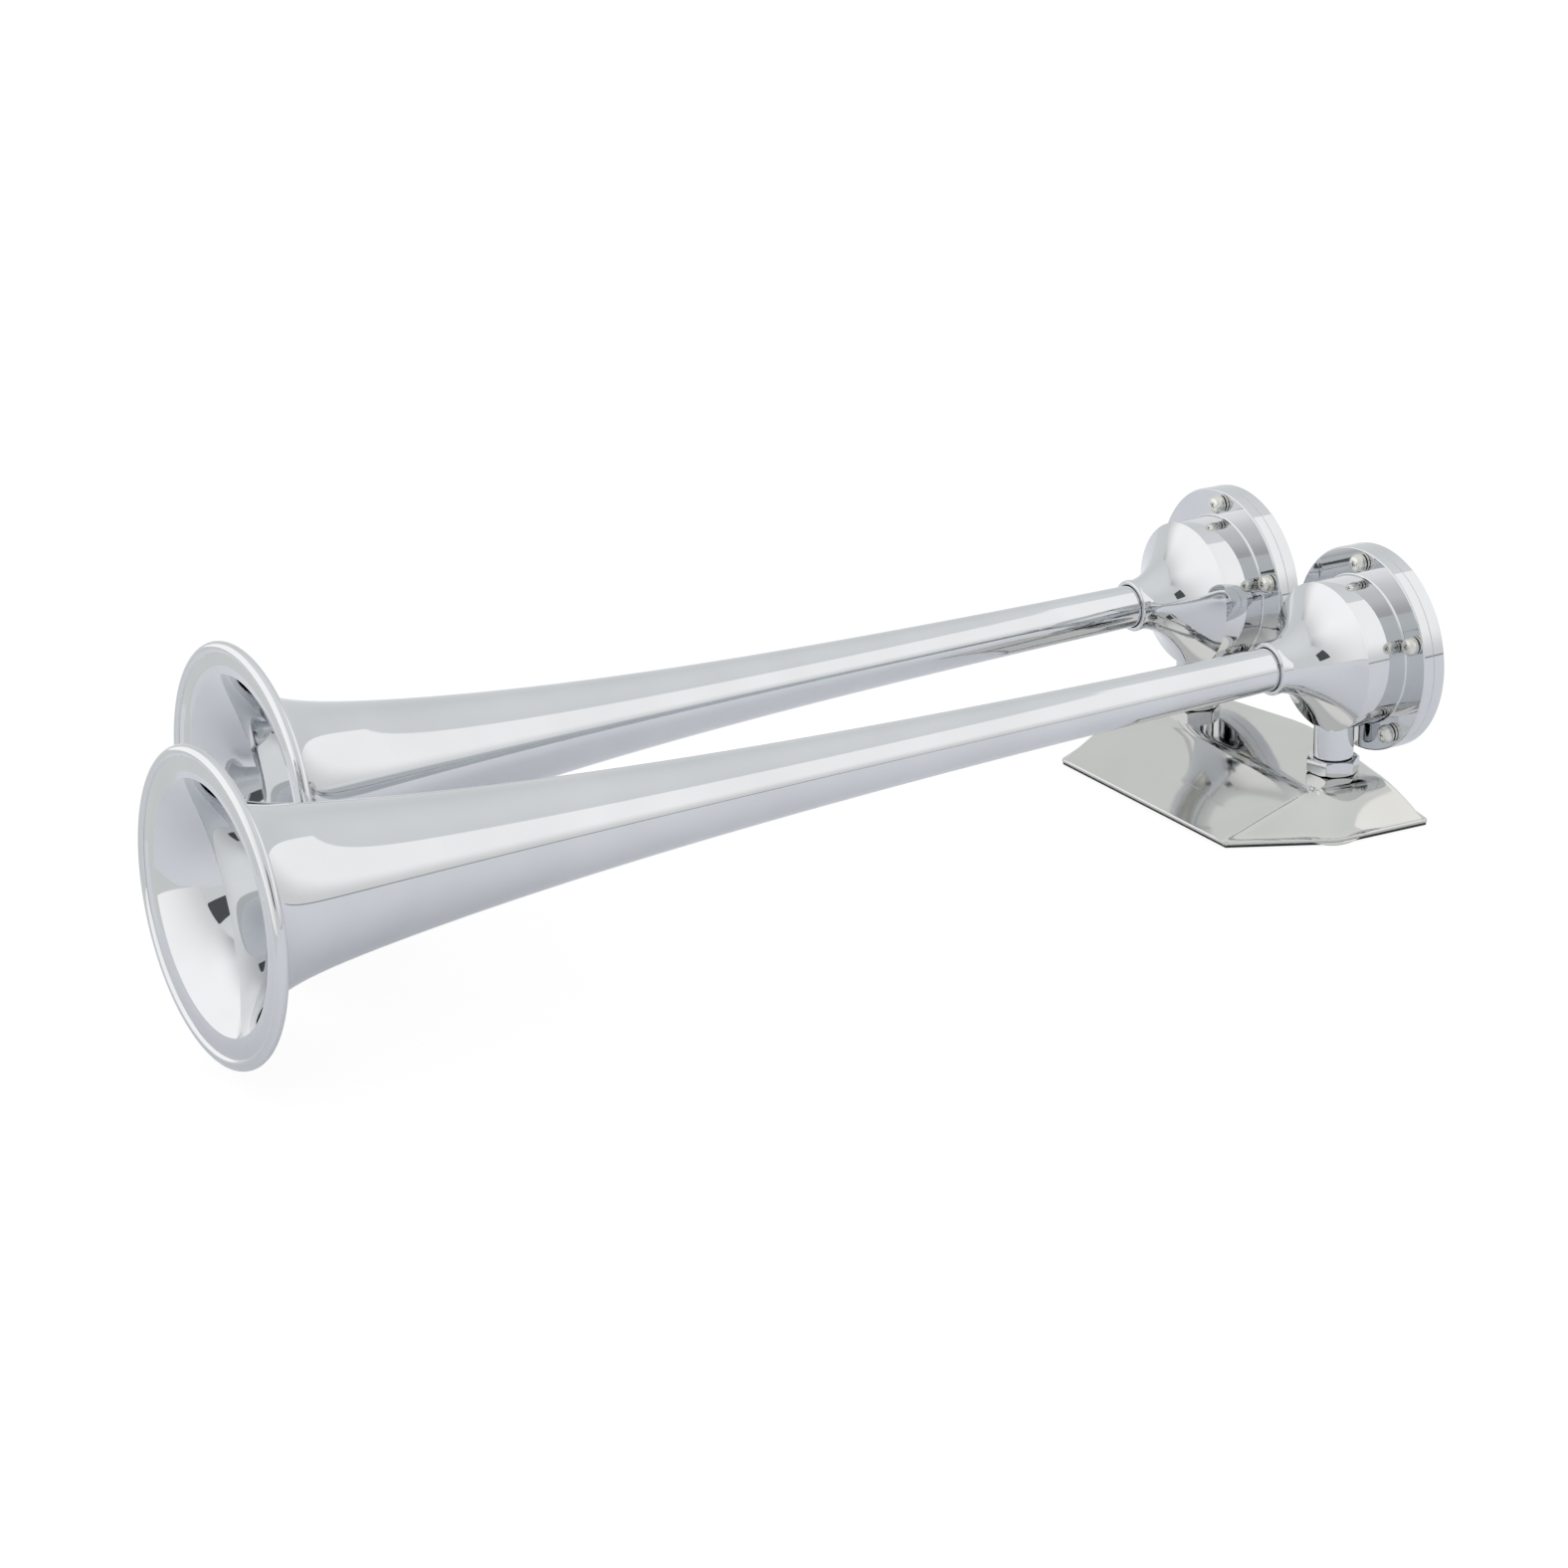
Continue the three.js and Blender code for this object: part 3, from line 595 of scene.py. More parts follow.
class AIRHORN_OT_chambers(Operator):
    """Casts the two sound chambers: flange, drum, dome, neck and post"""

    bl_idname = "airhorn.chambers"
    bl_label = "Sound chambers"

    def execute(self, context):
        settings = context.scene.air_horn
        sizes, fasteners = settings.chamber, settings.fastener
        for place in PLACES.values():
            front = place.flange_rear_x - sizes.flange_thickness
            outline = chamber_outline(sizes, place, settings.trumpet.throat_radius)
            casting = turned_along(outline, place, front, sizes.around)
            wall_middle = place.axis_z - (sizes.drum_radius + sizes.room_radius) / 2
            post = turned_up(
                [
                    (0, place.post_bottom, 0),
                    (sizes.post_radius, place.post_bottom, sizes.post_edge),
                    (sizes.post_radius, wall_middle, 0),
                    (0, wall_middle, 0),
                ],
                place.post_point(), 96, closed=False,
            )
            hole = fasteners.shank_radius + sizes.bore_gap
            drilled = place.flange_rear_x - sizes.flange_thickness / 2
            holes = [
                screw_hole(point, hole, sizes.flange_thickness)
                for point in screw_points(fasteners, place, drilled)
            ]
            stud_hole = fasteners.stud_radius + fasteners.thread_gap
            hole_start = place.post_bottom - 2 * fasteners.overrun
            hole_end = place.post_bottom + fasteners.stud_reach
            room_start = wall_middle + 2 * fasteners.overrun
            threaded = turned_up(
                [
                    (0, hole_start, 0),
                    (stud_hole, hole_start, 0),
                    (stud_hole, hole_end, 0),
                    (fasteners.stud_bore, hole_end, 0),
                    (fasteners.stud_bore, room_start, 0),
                    (0, room_start, 0),
                ],
                place.post_point(), 48, closed=False,
            )
            piece = carved(
                f"{place.name}_chamber_cast", casting, joins=[post], cutters=[threaded, *holes]
            )
            finish_piece(piece, place.body, "chrome", f"{place.name}_sound_chamber")
        return {"FINISHED"}


class AIRHORN_OT_covers(Operator):
    """Casts the two rear covers with their raised middles"""

    bl_idname = "airhorn.covers"
    bl_label = "Rear covers"

    def execute(self, context):
        sizes = context.scene.air_horn.chamber
        for place in PLACES.values():
            thickness = place.cover_rear_x - place.cover_front_x
            back = sizes.cover_boss_height
            front = thickness + sizes.seam_reach
            edge = sizes.flange_edge
            pocket = thickness - sizes.cover_pocket
            room_floor = pocket - sizes.cover_room
            boss = sizes.cover_boss_radius
            outline = [
                (0, 0, 0),
                (boss - sizes.cover_boss_slope, 0, edge),
                (boss, back, edge),
                (place.flange_radius, back, edge),
                (place.flange_radius, front, sizes.seam_edge),
                (sizes.pocket_radius, front, 0),
                (sizes.pocket_radius, pocket, 0),
                (sizes.cover_room_radius, pocket, 0),
                (sizes.cover_room_radius, room_floor, 0),
                (0, room_floor, 0),
            ]
            bm = turned_along(outline, place, place.cover_rear_x, sizes.around, closed=False)
            piece = mesh_object(f"{place.name}_cover_cast", bm)
            finish_piece(piece, place.body, "chrome", f"{place.name}_rear_cover")
        return {"FINISHED"}


# Flange screws and lock washers

# How far each screw head was turned when it was tightened, in degrees
HEAD_TURNS = {"long": (12, 30, 8, 52, 20), "short": (35, 10, 25, 70, 45)}


def recess_bar(sizes, front, angle):
    """One of the two bars that cut a cross recess into a head whose top is at front."""
    bm = bmesh.new()
    verts = bmesh.ops.create_cube(bm, size=1.0)["verts"]
    bmesh.ops.scale(
        bm, vec=(2 * sizes.recess_depth, sizes.recess_length, sizes.recess_width), verts=verts
    )
    for v in verts:
        if v.co.x > 0:
            v.co.y *= 0.45
            v.co.z *= 0.7
    bmesh.ops.rotate(bm, verts=verts, cent=(0, 0, 0), matrix=Matrix.Rotation(angle, 3, "X"))
    bmesh.ops.translate(bm, verts=verts, vec=front)
    return bm


def pan_head(sizes, point, shank_end):
    """A pan head with its shank behind it. The point is the middle of the head's underside."""
    r, h = sizes.head_radius, sizes.head_height
    corners = [
        (0, -shank_end, 0),
        (sizes.shank_radius, -shank_end, 0),
        (sizes.shank_radius, 0, 0),
        (r, 0, 0.0002),
        (r, h * 0.4, 0.0006),
        (r * 0.82, h * 0.84, 0.0006),
        (r * 0.4, h, 0.0006),
        (0, h, 0),
    ]
    return spun(corners, point, UP, -ALONG, 40, closed=False)


class AIRHORN_OT_flange_screws(Operator):
    """Makes the pan head screws of the flanges and their split lock washers"""

    bl_idname = "airhorn.flange_screws"
    bl_label = "Flange screws"

    def execute(self, context):
        settings = context.scene.air_horn
        sizes = settings.fastener
        for place in PLACES.values():
            front = place.flange_rear_x - settings.chamber.flange_thickness
            underside = front - 2 * sizes.seat_gap - sizes.washer_thickness
            head_top = underside - sizes.head_height
            screw_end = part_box(f"{place.name}_cover_screw_1")[1].x
            points = screw_points(sizes, place, underside)
            for index, point in zip(SCREWS, points):
                turn = math.radians(HEAD_TURNS[place.name][index - 1])
                top = Vector((head_top, point.y, point.z))
                piece = carved(
                    f"{place.name}_flange_screw_{index}",
                    pan_head(sizes, point, screw_end - underside),
                    cutters=[recess_bar(sizes, top, turn + arm) for arm in (0, math.pi / 2)],
                )
                finish_piece(piece, place.body, "zinc_steel", f"{place.name}_cover_screw_{index}")
                washer = mesh_object(
                    f"{place.name}_split_washer_{index}",
                    split_washer(sizes, Vector((front, point.y, point.z)), turn),
                )
                finish_piece(washer, place.body, "zinc_steel", f"{place.name}_lock_washer_{index}")
        return {"FINISHED"}


def split_washer(sizes, seat, angle):
    """A spring washer: a square section run once round the screw, with a slit and a slight rise."""
    inner = sizes.shank_radius + sizes.washer_gap
    outer = sizes.washer_radius
    rise = sizes.seat_gap
    slit = sizes.washer_split / sizes.washer_radius
    low = sizes.seat_gap / 2
    high = low + sizes.washer_thickness
    direction = Vector((0, math.cos(angle), math.sin(angle)))
    bm = bmesh.new()
    places = [(inner, low), (outer, low), (outer, high), (inner, high)]
    verts = [bm.verts.new(seat + direction * r - ALONG * d) for r, d in places]
    bm.faces.new(verts)
    rounded_corners(bm, verts, sizes.washer_edge, 3)
    steps = 48
    section = list(bm.verts) + list(bm.edges) + list(bm.faces)
    bmesh.ops.spin(
        bm, geom=section, cent=seat, axis=-ALONG, dvec=-ALONG * rise / steps,
        angle=FULL_TURN - slit, steps=steps,
    )
    bmesh.ops.recalc_face_normals(bm, faces=bm.faces)
    return bm


class AIRHORN_OT_rim_screws(Operator):
    """Makes the small pan head screw behind each bell's lip"""

    bl_idname = "airhorn.rim_screws"
    bl_label = "Rim screws"

    def execute(self, context):
        for place in PLACES.values():
            low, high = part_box(f"{place.name}_rim_screw")
            radius = (high.z - low.z) / 2
            centre = (low + high) / 2
            head = radius * 0.76
            shank = radius * 0.41
            top = high.x - low.x
            corners = [
                (0, 0, 0),
                (shank, 0, 0.0001),
                (shank, top - head, 0),
                (radius, top - head, 0.0002),
                (radius, top - head * 0.55, 0.0005),
                (radius * 0.72, top, 0.0005),
                (0, top, 0),
            ]
            bm = spun(corners, Vector((low.x, centre.y, centre.z)), UP, ALONG, 32, closed=False)
            length, width = radius * 1.2, radius * 0.26
            arms = []
            for size in ((head * 0.8, length, width), (head * 0.8, width, length)):
                arm = bmesh.new()
                verts = bmesh.ops.create_cube(arm, size=1.0)["verts"]
                bmesh.ops.scale(arm, vec=size, verts=verts)
                bmesh.ops.translate(arm, vec=(high.x, centre.y, centre.z), verts=verts)
                arms.append(arm)
            piece = carved(f"{place.name}_lip_screw", bm, cutters=arms)
            finish_piece(piece, place.body, "zinc_steel", f"{place.name}_rim_screw")
        return {"FINISHED"}


# Post fasteners


def hex_nut(sizes, point, low, high, name):
    """A hex nut with chamfered corners and a plain bore, standing at a point from low to high."""
    flat = sizes.nut_flats / 2
    corner = flat / math.cos(math.pi / 6)
    chamfer = (corner - flat) * 0.56
    block = bmesh.new()
    made = bmesh.ops.create_circle(block, cap_ends=True, segments=6, radius=corner)
    bmesh.ops.rotate(
        block, verts=made["verts"], cent=(0, 0, 0),
        matrix=Matrix.Rotation(math.radians(sizes.nut_turn + 30), 3, "Z"),
    )
    overrun = high - low
    bmesh.ops.translate(block, verts=made["verts"], vec=point + UP * (low - overrun))
    top = bmesh.ops.extrude_face_region(block, geom=block.faces[:])
    moved = [g for g in top["geom"] if isinstance(g, bmesh.types.BMVert)]
    bmesh.ops.translate(block, verts=moved, vec=UP * (high - low + 2 * overrun))
    bmesh.ops.recalc_face_normals(block, faces=block.faces)
    upright = [e for e in block.edges if abs(e.verts[0].co.z - e.verts[1].co.z) > 1e-6]
    rounded_edges(block, upright, sizes.nut_edge)
    rounding = turned_up(
        [
            (0, low, 0),
            (corner - chamfer * 1.6, low, sizes.ring_edge),
            (corner, low + chamfer, 0),
            (corner, high - chamfer, 0),
            (corner - chamfer * 1.6, high, sizes.ring_edge),
            (0, high, 0),
        ],
        point, 96, closed=False,
    )
    hole = sizes.stud_radius + sizes.thread_gap
    start, stop = low - sizes.overrun, high + sizes.overrun
    bore = turned_up(
        [(0, start, 0), (hole, start, 0), (hole, stop, 0), (0, stop, 0)], point, 48, closed=False
    )
    return carved(name, block, keeps=[rounding], cutters=[bore])


class AIRHORN_OT_post_fasteners(Operator):
    """Makes the jam nuts, washers, lower nuts and threaded studs of the posts"""

    bl_idname = "airhorn.post_fasteners"
    bl_label = "Post fasteners"

    def execute(self, context):
        sizes = context.scene.air_horn.fastener
        for place in PLACES.values():
            name, point = place.name, place.post_point()
            for node, slot, title in (
                ("jam_nut", "chrome", "jam_nut_turned"),
                ("lower_nut", "zinc_steel", "lower_nut_turned"),
            ):
                low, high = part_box(f"{name}_{node}")
                piece = hex_nut(sizes, point, low.z, high.z, f"{name}_{title}")
                finish_piece(piece, "base", slot, f"{name}_{node}")
            low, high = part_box(f"{name}_lower_washer")
            radius = (high.y - low.y) / 2
            bore = sizes.stud_radius + sizes.thread_gap
            edge = sizes.ring_edge
            ring = [
                (bore, low.z, edge / 3),
                (radius, low.z, edge),
                (radius, high.z, edge),
                (bore, high.z, edge / 3),
            ]
            washer = mesh_object(f"{name}_washer_pressed", turned_up(ring, point, 96))
            finish_piece(washer, "base", "zinc_steel", f"{name}_lower_washer")
            low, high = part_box(f"{name}_hollow_stud")
            stud = mesh_object(f"{name}_stud_threaded", threaded_stud(sizes, point, low.z, high.z))
            finish_piece(stud, "base", "brass", f"{name}_hollow_stud")
        return {"FINISHED"}


def threaded_stud(sizes, point, low, high):
    """A hollow stud: a plain core and one ridge wound round it as its thread."""
    crest = sizes.stud_radius
    pitch = sizes.thread_pitch
    root = crest - pitch * 0.6
    bm = turned_up(
        [
            (sizes.stud_bore, low, sizes.ring_edge),
            (root, low, sizes.ring_edge),
            (root, high, sizes.ring_edge),
            (sizes.stud_bore, high, sizes.ring_edge),
        ],
        point, 64,
    )
    turns = int((high - low) / pitch) - 1
    steps_per_turn = 32
    foot = low + pitch * 0.1
    sunk = root - pitch * 0.13
    rows = [(sunk, 0.0), (crest, 0.4), (crest, 0.55), (sunk, 0.95)]
    verts = [bm.verts.new(point + ALONG * r + UP * (foot + share * pitch)) for r, share in rows]
    face = bm.faces.new(verts)
    bmesh.ops.spin(
        bm, geom=[*verts, *face.edges, face], cent=point, axis=UP,
        dvec=UP * pitch / steps_per_turn, angle=FULL_TURN * turns,
        steps=steps_per_turn * turns,
    )
    bmesh.ops.recalc_face_normals(bm, faces=bm.faces)
    return bm


# Base


def base_outline(front, bend, rear, point):
    """A seven-sided outline, counterclockwise: its ends bend and its rear stands out."""
    far = [Vector(corner) for corner in (rear, bend, front)]
    near = [Vector((corner.x, -corner.y)) for corner in reversed(far)]
    return [*near, Vector((point, 0)), *far]


def soft_least(a, b, blend):
    """The smaller of two heights, blended where they are within the given height of each other."""
    share = max(blend - abs(a - b), 0.0) / blend
    return min(a, b) - share * share * blend / 4


def cross2(a, b):
    return a.x * b.y - a.y * b.x


class BaseSlopes:
    """Heights of the seven slopes and the plateau of the base at any place."""

    def __init__(self, sizes, foot_z, plateau_z):
        self.sizes = sizes
        self.foot_z = foot_z
        self.plateau_z = plateau_z
        self.foot = base_outline(
            sizes.foot_front, sizes.foot_bend, sizes.foot_rear, sizes.foot_point
        )
        self.plateau = base_outline(
            sizes.plateau_front, sizes.plateau_bend, sizes.plateau_rear, sizes.plateau_point
        )

    def slope_height(self, index, place):
        """Height of the ruled face between an edge of the foot and one of the plateau."""
        after = (index + 1) % len(self.foot)
        low, high = self.foot[index], self.plateau[index]
        edge = self.foot[after] - low
        change = self.plateau[after] - high - edge
        inwards, rise = place - low, high - low
        square = -cross2(change, rise)
        line = cross2(change, inwards) - cross2(edge, rise)
        rest = cross2(edge, inwards)
        root = line * line - 4 * square * rest
        share = 2 * rest / (math.sqrt(root) - line) if root > 0 else 2.0
        sizes = self.sizes
        width = cross2(edge, rise) / edge.length
        share = 1 - (1 - share) * width / (width - sizes.lip_width)
        bulge = 4 * sizes.bulge * min(share, 1) * (1 - share)
        slope = self.foot_z + (share + bulge) * (self.plateau_z - self.foot_z)
        lip = self.foot_z + sizes.lip_slope * rest / edge.length
        return -soft_least(-slope, -lip, sizes.lip_blend)

    def height(self, x, y):
        sizes = self.sizes
        h = [self.slope_height(i, Vector((x, y))) for i in range(7)]
        near_end = soft_least(h[0], h[1], sizes.end_blend)
        far_end = soft_least(h[4], h[5], sizes.end_blend)
        slope = soft_least(h[2], h[3], sizes.end_blend)
        for other in (near_end, far_end, h[6]):
            slope = soft_least(slope, other, sizes.ridge_blend)
        return soft_least(slope, self.plateau_z, sizes.plateau_blend)


# Section of the lip's rounded edge: inset as a share of the reach, height as a share of the lip's
LIP_EDGE = ((0.005, 0.0), (0.0016, 0.12), (0.0, 0.4), (0.0, 0.62), (0.0016, 0.86), (0.005, 1.0))


class AIRHORN_OT_base(Operator):
    """Presses the base shell with its soft edges, and moulds its gasket"""

    bl_idname = "airhorn.base"
    bl_label = "Base"

    def execute(self, context):
        settings = context.scene.air_horn
        sizes = settings.base
        low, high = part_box("base_shell")
        foot_z = low.z + sizes.lip_height
        slopes = BaseSlopes(sizes, foot_z, high.z)
        foot = slopes.foot
        bm = bmesh.new()
        verts = [bm.verts.new((p.x, p.y, low.z)) for p in foot]
        for pair in zip(verts, verts[1:] + verts[:1]):
            bm.edges.new(pair)
        rounded_corners(bm, verts, sizes.corner_rounding, 5)
        long_edges = [e for e in bm.edges if e.calc_length() > 2 * sizes.corner_rounding]
        bmesh.ops.subdivide_edges(bm, edges=long_edges, cuts=40)
        middle = Vector(((low.x + high.x) / 2, 0))
        for v in bm.verts:
            v.co.xy = middle + (v.co.xy - middle) * (1 - LIP_EDGE[0][0])
        ring = list(bm.edges)
        for (before, _), (after, rise) in zip(LIP_EDGE, LIP_EDGE[1:]):
            z = low.z + rise * sizes.lip_height
            ring = lifted_ring(bm, ring, middle, (1 - after) / (1 - before), z)
        rounded = set(bm.verts)
        count = 90
        share = 1 - LIP_EDGE[-1][0]
        for i in range(1, count):
            after = (1 - LIP_EDGE[-1][0]) * (1 - (i / count) ** 1.4)
            ring = lifted_ring(bm, ring, middle, after / share)
            share = after
        bmesh.ops.contextual_create(bm, geom=ring)
        for v in bm.verts:
            if v not in rounded:
                v.co.z = min(slopes.height(v.co.x, v.co.y), high.z)
        bmesh.ops.recalc_face_normals(bm, faces=bm.faces)
        piece = mesh_object("base_pressed_sheet", bm)
        solid = piece.modifiers.new("sheet", "SOLIDIFY")
        solid.thickness = sizes.sheet
        solid.offset = -1
        solid.use_even_offset = True
        apply_modifiers(piece)
        finish_piece(piece, "base", "base_chrome", "base_shell")
        gasket_from_node(sizes)
        return {"FINISHED"}


def lifted_ring(bm, ring, middle, share, height=None):
    """Extrudes a ring of edges and draws the new ring in towards the middle. Returns its edges."""
    made = bmesh.ops.extrude_edge_only(bm, edges=ring)["geom"]
    for v in made:
        if isinstance(v, bmesh.types.BMVert):
            v.co.xy = middle + (v.co.xy - middle) * share
            if height is not None:
                v.co.z = height
    return [e for e in made if isinstance(e, bmesh.types.BMEdge)]


def gasket_from_node(sizes):
    """The gasket strip with its edges rounded."""
    bm = bmesh.new()
    bm.from_mesh(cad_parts["base_gasket"].data)
    bmesh.ops.remove_doubles(bm, verts=bm.verts, dist=1e-6)
    bmesh.ops.dissolve_limit(bm, angle_limit=math.radians(1), verts=bm.verts, edges=bm.edges)
    crisp = [e for e in bm.edges if e.calc_face_angle(0) > math.radians(30)]
    rounded_edges(bm, crisp, sizes.gasket_edge)
    piece = mesh_object("base_gasket_moulded", bm)
    finish_piece(piece, "base", "black_rubber", "base_gasket")


# Parts inside


class AIRHORN_OT_inner_parts(Operator):
    """Makes the gasket rings and finishes the nozzles and diaphragms inside the chambers"""

    bl_idname = "airhorn.inner_parts"
    bl_label = "Inner parts"

    def execute(self, context):
        sizes = context.scene.air_horn.chamber
        edge = sizes.inner_edge
        for place in PLACES.values():
            for side in ("front", "rear"):
                node = f"{place.name}_{side}_gasket"
                low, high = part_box(node)
                outer = (high.z - low.z) / 2
                inner = outer - sizes.gasket_width
                thick = high.x - low.x
                ring = [
                    (inner, 0, edge), (outer, 0, edge), (outer, thick, edge), (inner, thick, edge)
                ]
                bm = turned_along(ring, place, high.x, 96)
                piece = mesh_object(f"{place.name}_{side}_gasket_ring", bm)
                finish_piece(piece, place.body, "black_rubber", node)
            low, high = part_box(f"{place.name}_diaphragm")
            radius, thick = (high.z - low.z) / 2, high.x - low.x
            rise = thick * 0.43
            disc = [
                (0, 0, 0), (radius * 0.66, 0, sizes.disc_wave),
                (radius * 0.685, rise, sizes.disc_wave),
                (radius, rise, edge / 3), (radius, thick, edge / 3), (0, thick, 0),
            ]
            bm = turned_along(disc, place, high.x, 96, closed=False)
            piece = mesh_object(f"{place.name}_diaphragm_rolled", bm)
            finish_piece(
                piece, f"{place.name}_diaphragm_disc", "spring_steel", f"{place.name}_diaphragm"
            )
            low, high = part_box(f"{place.name}_nozzle")
            seat, length = (high.z - low.z) / 2, high.x - low.x
            outer = context.scene.air_horn.trumpet.throat_radius
            bore = outer * 0.65
            tube = [
                (bore, 0, edge), (seat, 0, edge), (seat, sizes.nozzle_seat, edge),
                (outer, sizes.nozzle_seat, 0), (outer, length, edge), (bore, length, edge),
            ]
            piece = mesh_object(
                f"{place.name}_nozzle_turned", turned_along(tube, place, high.x, 96)
            )
            finish_piece(piece, place.body, "brass", f"{place.name}_nozzle")
        return {"FINISHED"}


# Stage


def glow(name, colour, strength, shades):
    """A light-giving material. Each shade is (axis, from, to, strength there)."""
    shader = Shader(name)
    emission = shader.node("ShaderNodeEmission")
    emission.inputs["Color"].default_value = (*colour, 1)
    emission.inputs["Strength"].default_value = strength
    level = None
    for axis, start, stop, reached in shades:
        split = shader.node("ShaderNodeSeparateXYZ")
        shader.link(shader.coords.outputs["Object"], split.inputs["Vector"])
        between = shader.node("ShaderNodeMapRange", interpolation_type="SMOOTHSTEP")
        between.inputs["From Min"].default_value = start
        between.inputs["From Max"].default_value = stop
        between.inputs["To Min"].default_value = 1.0
        between.inputs["To Max"].default_value = reached / strength
        shader.link(split.outputs[axis], between.inputs["Value"])
        product = shader.node("ShaderNodeMath", operation="MULTIPLY")
        if level:
            shader.link(level, product.inputs[0])
        else:
            product.inputs[0].default_value = strength
        shader.link(between.outputs["Result"], product.inputs[1])
        level = product.outputs["Value"]
    if level:
        shader.link(level, emission.inputs["Strength"])
    output = shader.tree.nodes["Material Output"]
    shader.link(emission.outputs["Emission"], output.inputs["Surface"])
    return shader.material


def reflector(name, corners, material, rounding):
    """A card that only shows as a reflection in the metal."""
    bm = bmesh.new()
    verts = [bm.verts.new(corner) for corner in corners]
    bm.faces.new(verts)
    if rounding:
        bmesh.ops.bevel(
            bm, geom=verts, offset=rounding, offset_type="OFFSET", segments=12, profile=0.5,
            affect="VERTICES", clamp_overlap=True, material=-1,
        )
    card = mesh_object(name, bm)
    card.data.materials.append(material)
    card.visible_camera = False
    card.visible_diffuse = False
    card.visible_shadow = False
    card.visible_transmission = False
    card.visible_volume_scatter = False


# The pale tent round the horn: name, colour, strength, shades, corner rounding and corners
CARDS = (
    (
        "left_panel", (1.0, 0.995, 0.985), 1.22,
        (("Y", 0.1, -0.66, 0.82), ("Z", 0.6, 1.5, 0.85), ("Y", 1.2, 2.2, 0.85)), 0.05,
        ((-0.93, -0.66, 0.02), (-0.93, -0.66, 1.5), (-0.68, 2.2, 1.5), (-0.68, 2.2, 0.02)),
    ),
    (
        "left_skirt", (0.97, 1.0, 0.98), 0.75, (), 0,
        ((-0.59, 0.3, 0.001), (-0.66, 0.1, 0.001), (-0.74, -0.08, 0.001), (-0.9, -0.3, 0.001),
         (-1.07, -0.75, 0.001), (-1.33, -2.2, 0.001), (-2.5, -2.2, 0.001), (-2.5, 1.5, 0.001),
         (-0.55, 1.5, 0.001)),
    ),
    (
        "left_wall", (0.98, 1.0, 0.99), 0.79, (), 0,
        ((-1.1, -1.0, 0.0), (-1.1, -1.0, 2.0), (-0.95, 1.5, 2.0), (-0.95, 1.5, 0.0)),
    ),
    (
        "right_panel", (1.0, 1.0, 0.995), 1.13, (("Z", 0.9, 0.1, 0.8),), 0,
        ((1.2, 0.22, 0.03), (1.2, 0.22, 2.0), (1.2, -1.5, 2.0), (1.2, -4.2, 1.9),
         (1.2, -4.2, 0.12)),
    ),
    (
        "right_seam", (1.0, 1.0, 1.0), 0.35, (), 0,
        ((1.19, -0.45, 0.0), (1.19, -0.45, 0.02), (1.19, -4.2, 0.12), (1.19, -4.2, 0.0)),
    ),
    (
        "opening", (0.92, 0.97, 1.0), 0.1, (), 0.03,
        ((-0.87, -0.61, 0.25), (-0.87, -0.61, 0.64), (-0.73, -0.89, 0.64), (-0.73, -0.89, 0.25)),
    ),
)


def studio_world(context):
    """White to the camera, plain light on the horn, a softly shaded tent in the metal."""
    world = bpy.data.worlds.new("studio")
    world.use_nodes = True
    context.scene.world = world
    tree = world.node_tree
    background = tree.nodes["Background"]
    path = tree.nodes.new("ShaderNodeLightPath")
    coords = tree.nodes.new("ShaderNodeTexCoord")
    split = tree.nodes.new("ShaderNodeSeparateXYZ")
    tree.links.new(coords.outputs["Generated"], split.inputs["Vector"])
    height = tree.nodes.new("ShaderNodeMapRange")
    height.inputs["From Min"].default_value = 0.5
    height.inputs["From Max"].default_value = 0.95
    height.inputs["To Min"].default_value = 0.0
    height.inputs["To Max"].default_value = 1.0
    tree.links.new(split.outputs["Z"], height.inputs["Value"])
    tent = tree.nodes.new("ShaderNodeMix")
    tent.data_type = "RGBA"
    tent.inputs["A"].default_value = (0.75, 0.775, 0.775, 1)
    tent.inputs["B"].default_value = (0.87, 0.888, 0.897, 1)
    tree.links.new(height.outputs["Result"], tent.inputs["Factor"])
    choice = tree.nodes.new("ShaderNodeMix")
    choice.data_type = "RGBA"
    choice.inputs["A"].default_value = (1, 1, 1, 1)
    tree.links.new(path.outputs["Is Glossy Ray"], choice.inputs["Factor"])
    tree.links.new(tent.outputs["Result"], choice.inputs["B"])
    tree.links.new(choice.outputs["Result"], background.inputs["Color"])


def floor_material():
    """White to the camera with a faint shadow, pale lavender paper in the metal."""
    shader = Shader("floor_paper")
    paper = shader.surface
    paper.inputs["Base Color"].default_value = (0.805, 0.827, 0.862, 1)
    paper.inputs["Roughness"].default_value = 1.0
    paper.inputs["Specular IOR Level"].default_value = 0.0
    white = shader.node("ShaderNodeEmission")
    white.inputs["Strength"].default_value = 0.88
    shadowed = shader.node("ShaderNodeBsdfDiffuse")
    shadowed.inputs["Color"].default_value = (0.16, 0.16, 0.16, 1)
    seen = shader.node("ShaderNodeAddShader")
    shader.link(white.outputs["Emission"], seen.inputs[0])
    shader.link(shadowed.outputs["BSDF"], seen.inputs[1])
    path = shader.node("ShaderNodeLightPath")
    mix = shader.node("ShaderNodeMixShader")
    shader.link(path.outputs["Is Camera Ray"], mix.inputs["Fac"])
    shader.link(paper.outputs["BSDF"], mix.inputs[1])
    shader.link(seen.outputs["Shader"], mix.inputs[2])
    shader.link(mix.outputs["Shader"], shader.tree.nodes["Material Output"].inputs["Surface"])
    return shader.material


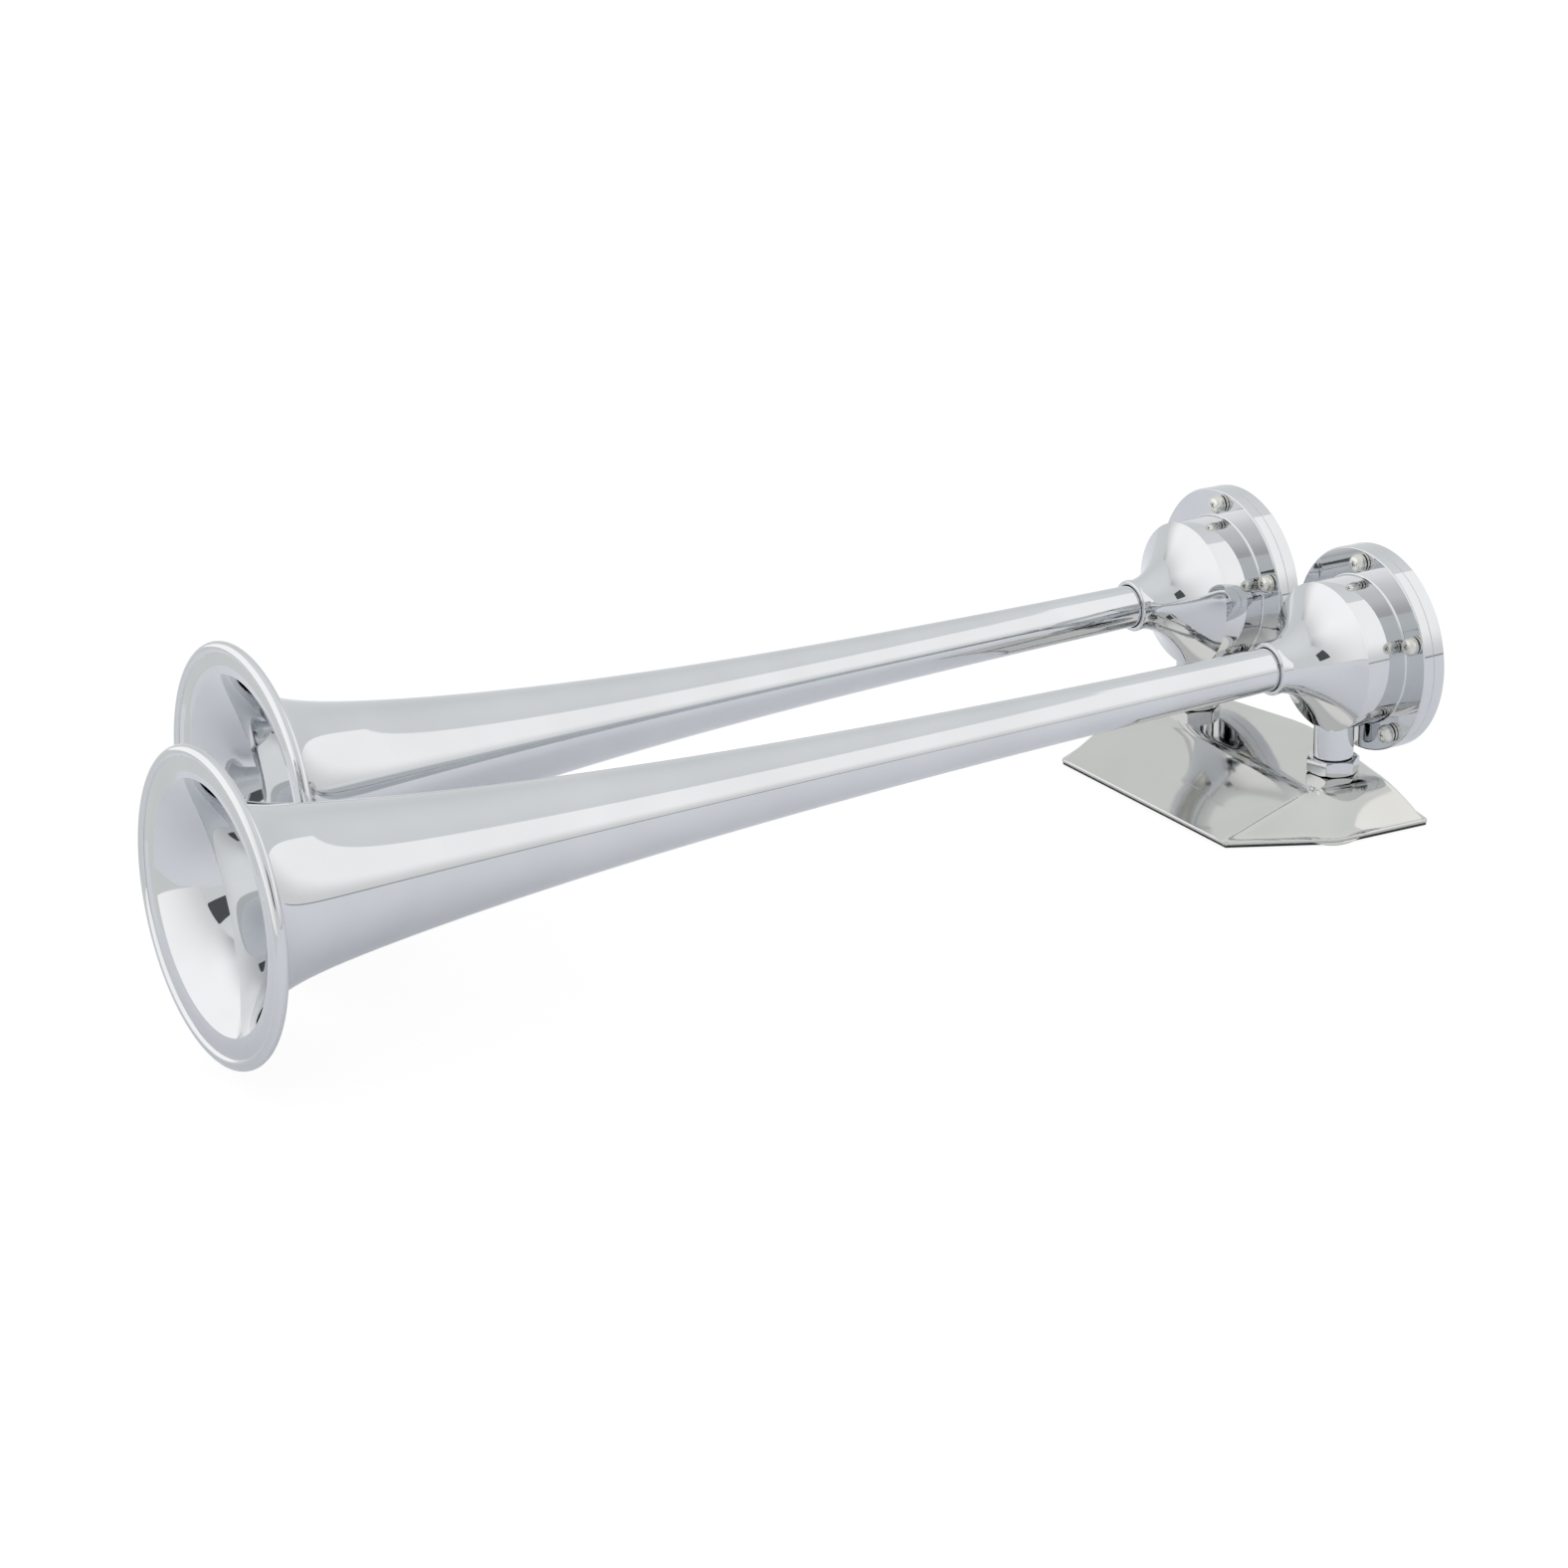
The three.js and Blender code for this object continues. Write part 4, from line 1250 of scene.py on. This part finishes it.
class AIRHORN_OT_stage(Operator):
    """Sets the floor, the studio light and the camera"""

    bl_idname = "airhorn.stage"
    bl_label = "Stage"

    def execute(self, context):
        studio = context.scene.air_horn.studio
        bm = bmesh.new()
        bmesh.ops.create_grid(bm, x_segments=1, y_segments=1, size=20)
        bmesh.ops.translate(bm, verts=bm.verts, vec=(0, 0, -0.0002))
        floor = mesh_object("floor", bm)
        floor.data.materials.append(floor_material())
        for name, colour, strength, shades, rounding, corners in CARDS:
            light = glow(f"{name}_light", colour, strength, shades)
            reflector(name, corners, light, rounding)
        studio_world(context)
        camera = bpy.data.objects.new("camera", bpy.data.cameras.new("camera"))
        context.scene.collection.objects.link(camera)
        a, e = math.radians(studio.azimuth), math.radians(studio.elevation)
        back = Vector((math.sin(a) * math.cos(e), -math.cos(a) * math.cos(e), math.sin(e)))
        turn = Quaternion((0, 0, 1), math.radians(studio.roll))
        camera.rotation_mode = "QUATERNION"
        camera.rotation_quaternion = (-back).to_track_quat("-Z", "Y") @ turn
        camera.location = Vector(studio.target) + back * studio.distance
        camera.data.sensor_width = 36.0
        camera.data.lens = studio.lens
        context.scene.camera = camera
        context.scene.view_settings.view_transform = "Standard"
        return {"FINISHED"}


OPERATORS = (
    AIRHORN_OT_stage,
    AIRHORN_OT_base,
    AIRHORN_OT_post_fasteners,
    AIRHORN_OT_chambers,
    AIRHORN_OT_covers,
    AIRHORN_OT_flange_screws,
    AIRHORN_OT_trumpets,
    AIRHORN_OT_rim_screws,
    AIRHORN_OT_inner_parts,
)


class AIRHORN_PT_panel(Panel):
    """Lists the steps that build the horn"""

    bl_label = "Air Horn"
    bl_idname = "AIRHORN_PT_panel"
    bl_space_type = "VIEW_3D"
    bl_region_type = "UI"
    bl_category = "Air Horn"

    def draw(self, context):
        for operator in OPERATORS:
            self.layout.operator(operator.bl_idname)


CLASSES = (
    TrumpetSizes, ChamberSizes, FastenerSizes, BaseSizes, Finishes, StudioSettings,
    AirHornSettings, *OPERATORS, AIRHORN_PT_panel,
)


def register():
    for cls in CLASSES:
        bpy.utils.register_class(cls)
    bpy.types.Scene.air_horn = PointerProperty(type=AirHornSettings)


def unregister():
    del bpy.types.Scene.air_horn
    for cls in reversed(CLASSES):
        bpy.utils.unregister_class(cls)


def main():
    register()
    for operator in OPERATORS:
        group, name = operator.bl_idname.split(".")
        getattr(getattr(bpy.ops, group), name)()


if __name__ == "__main__":
    main()
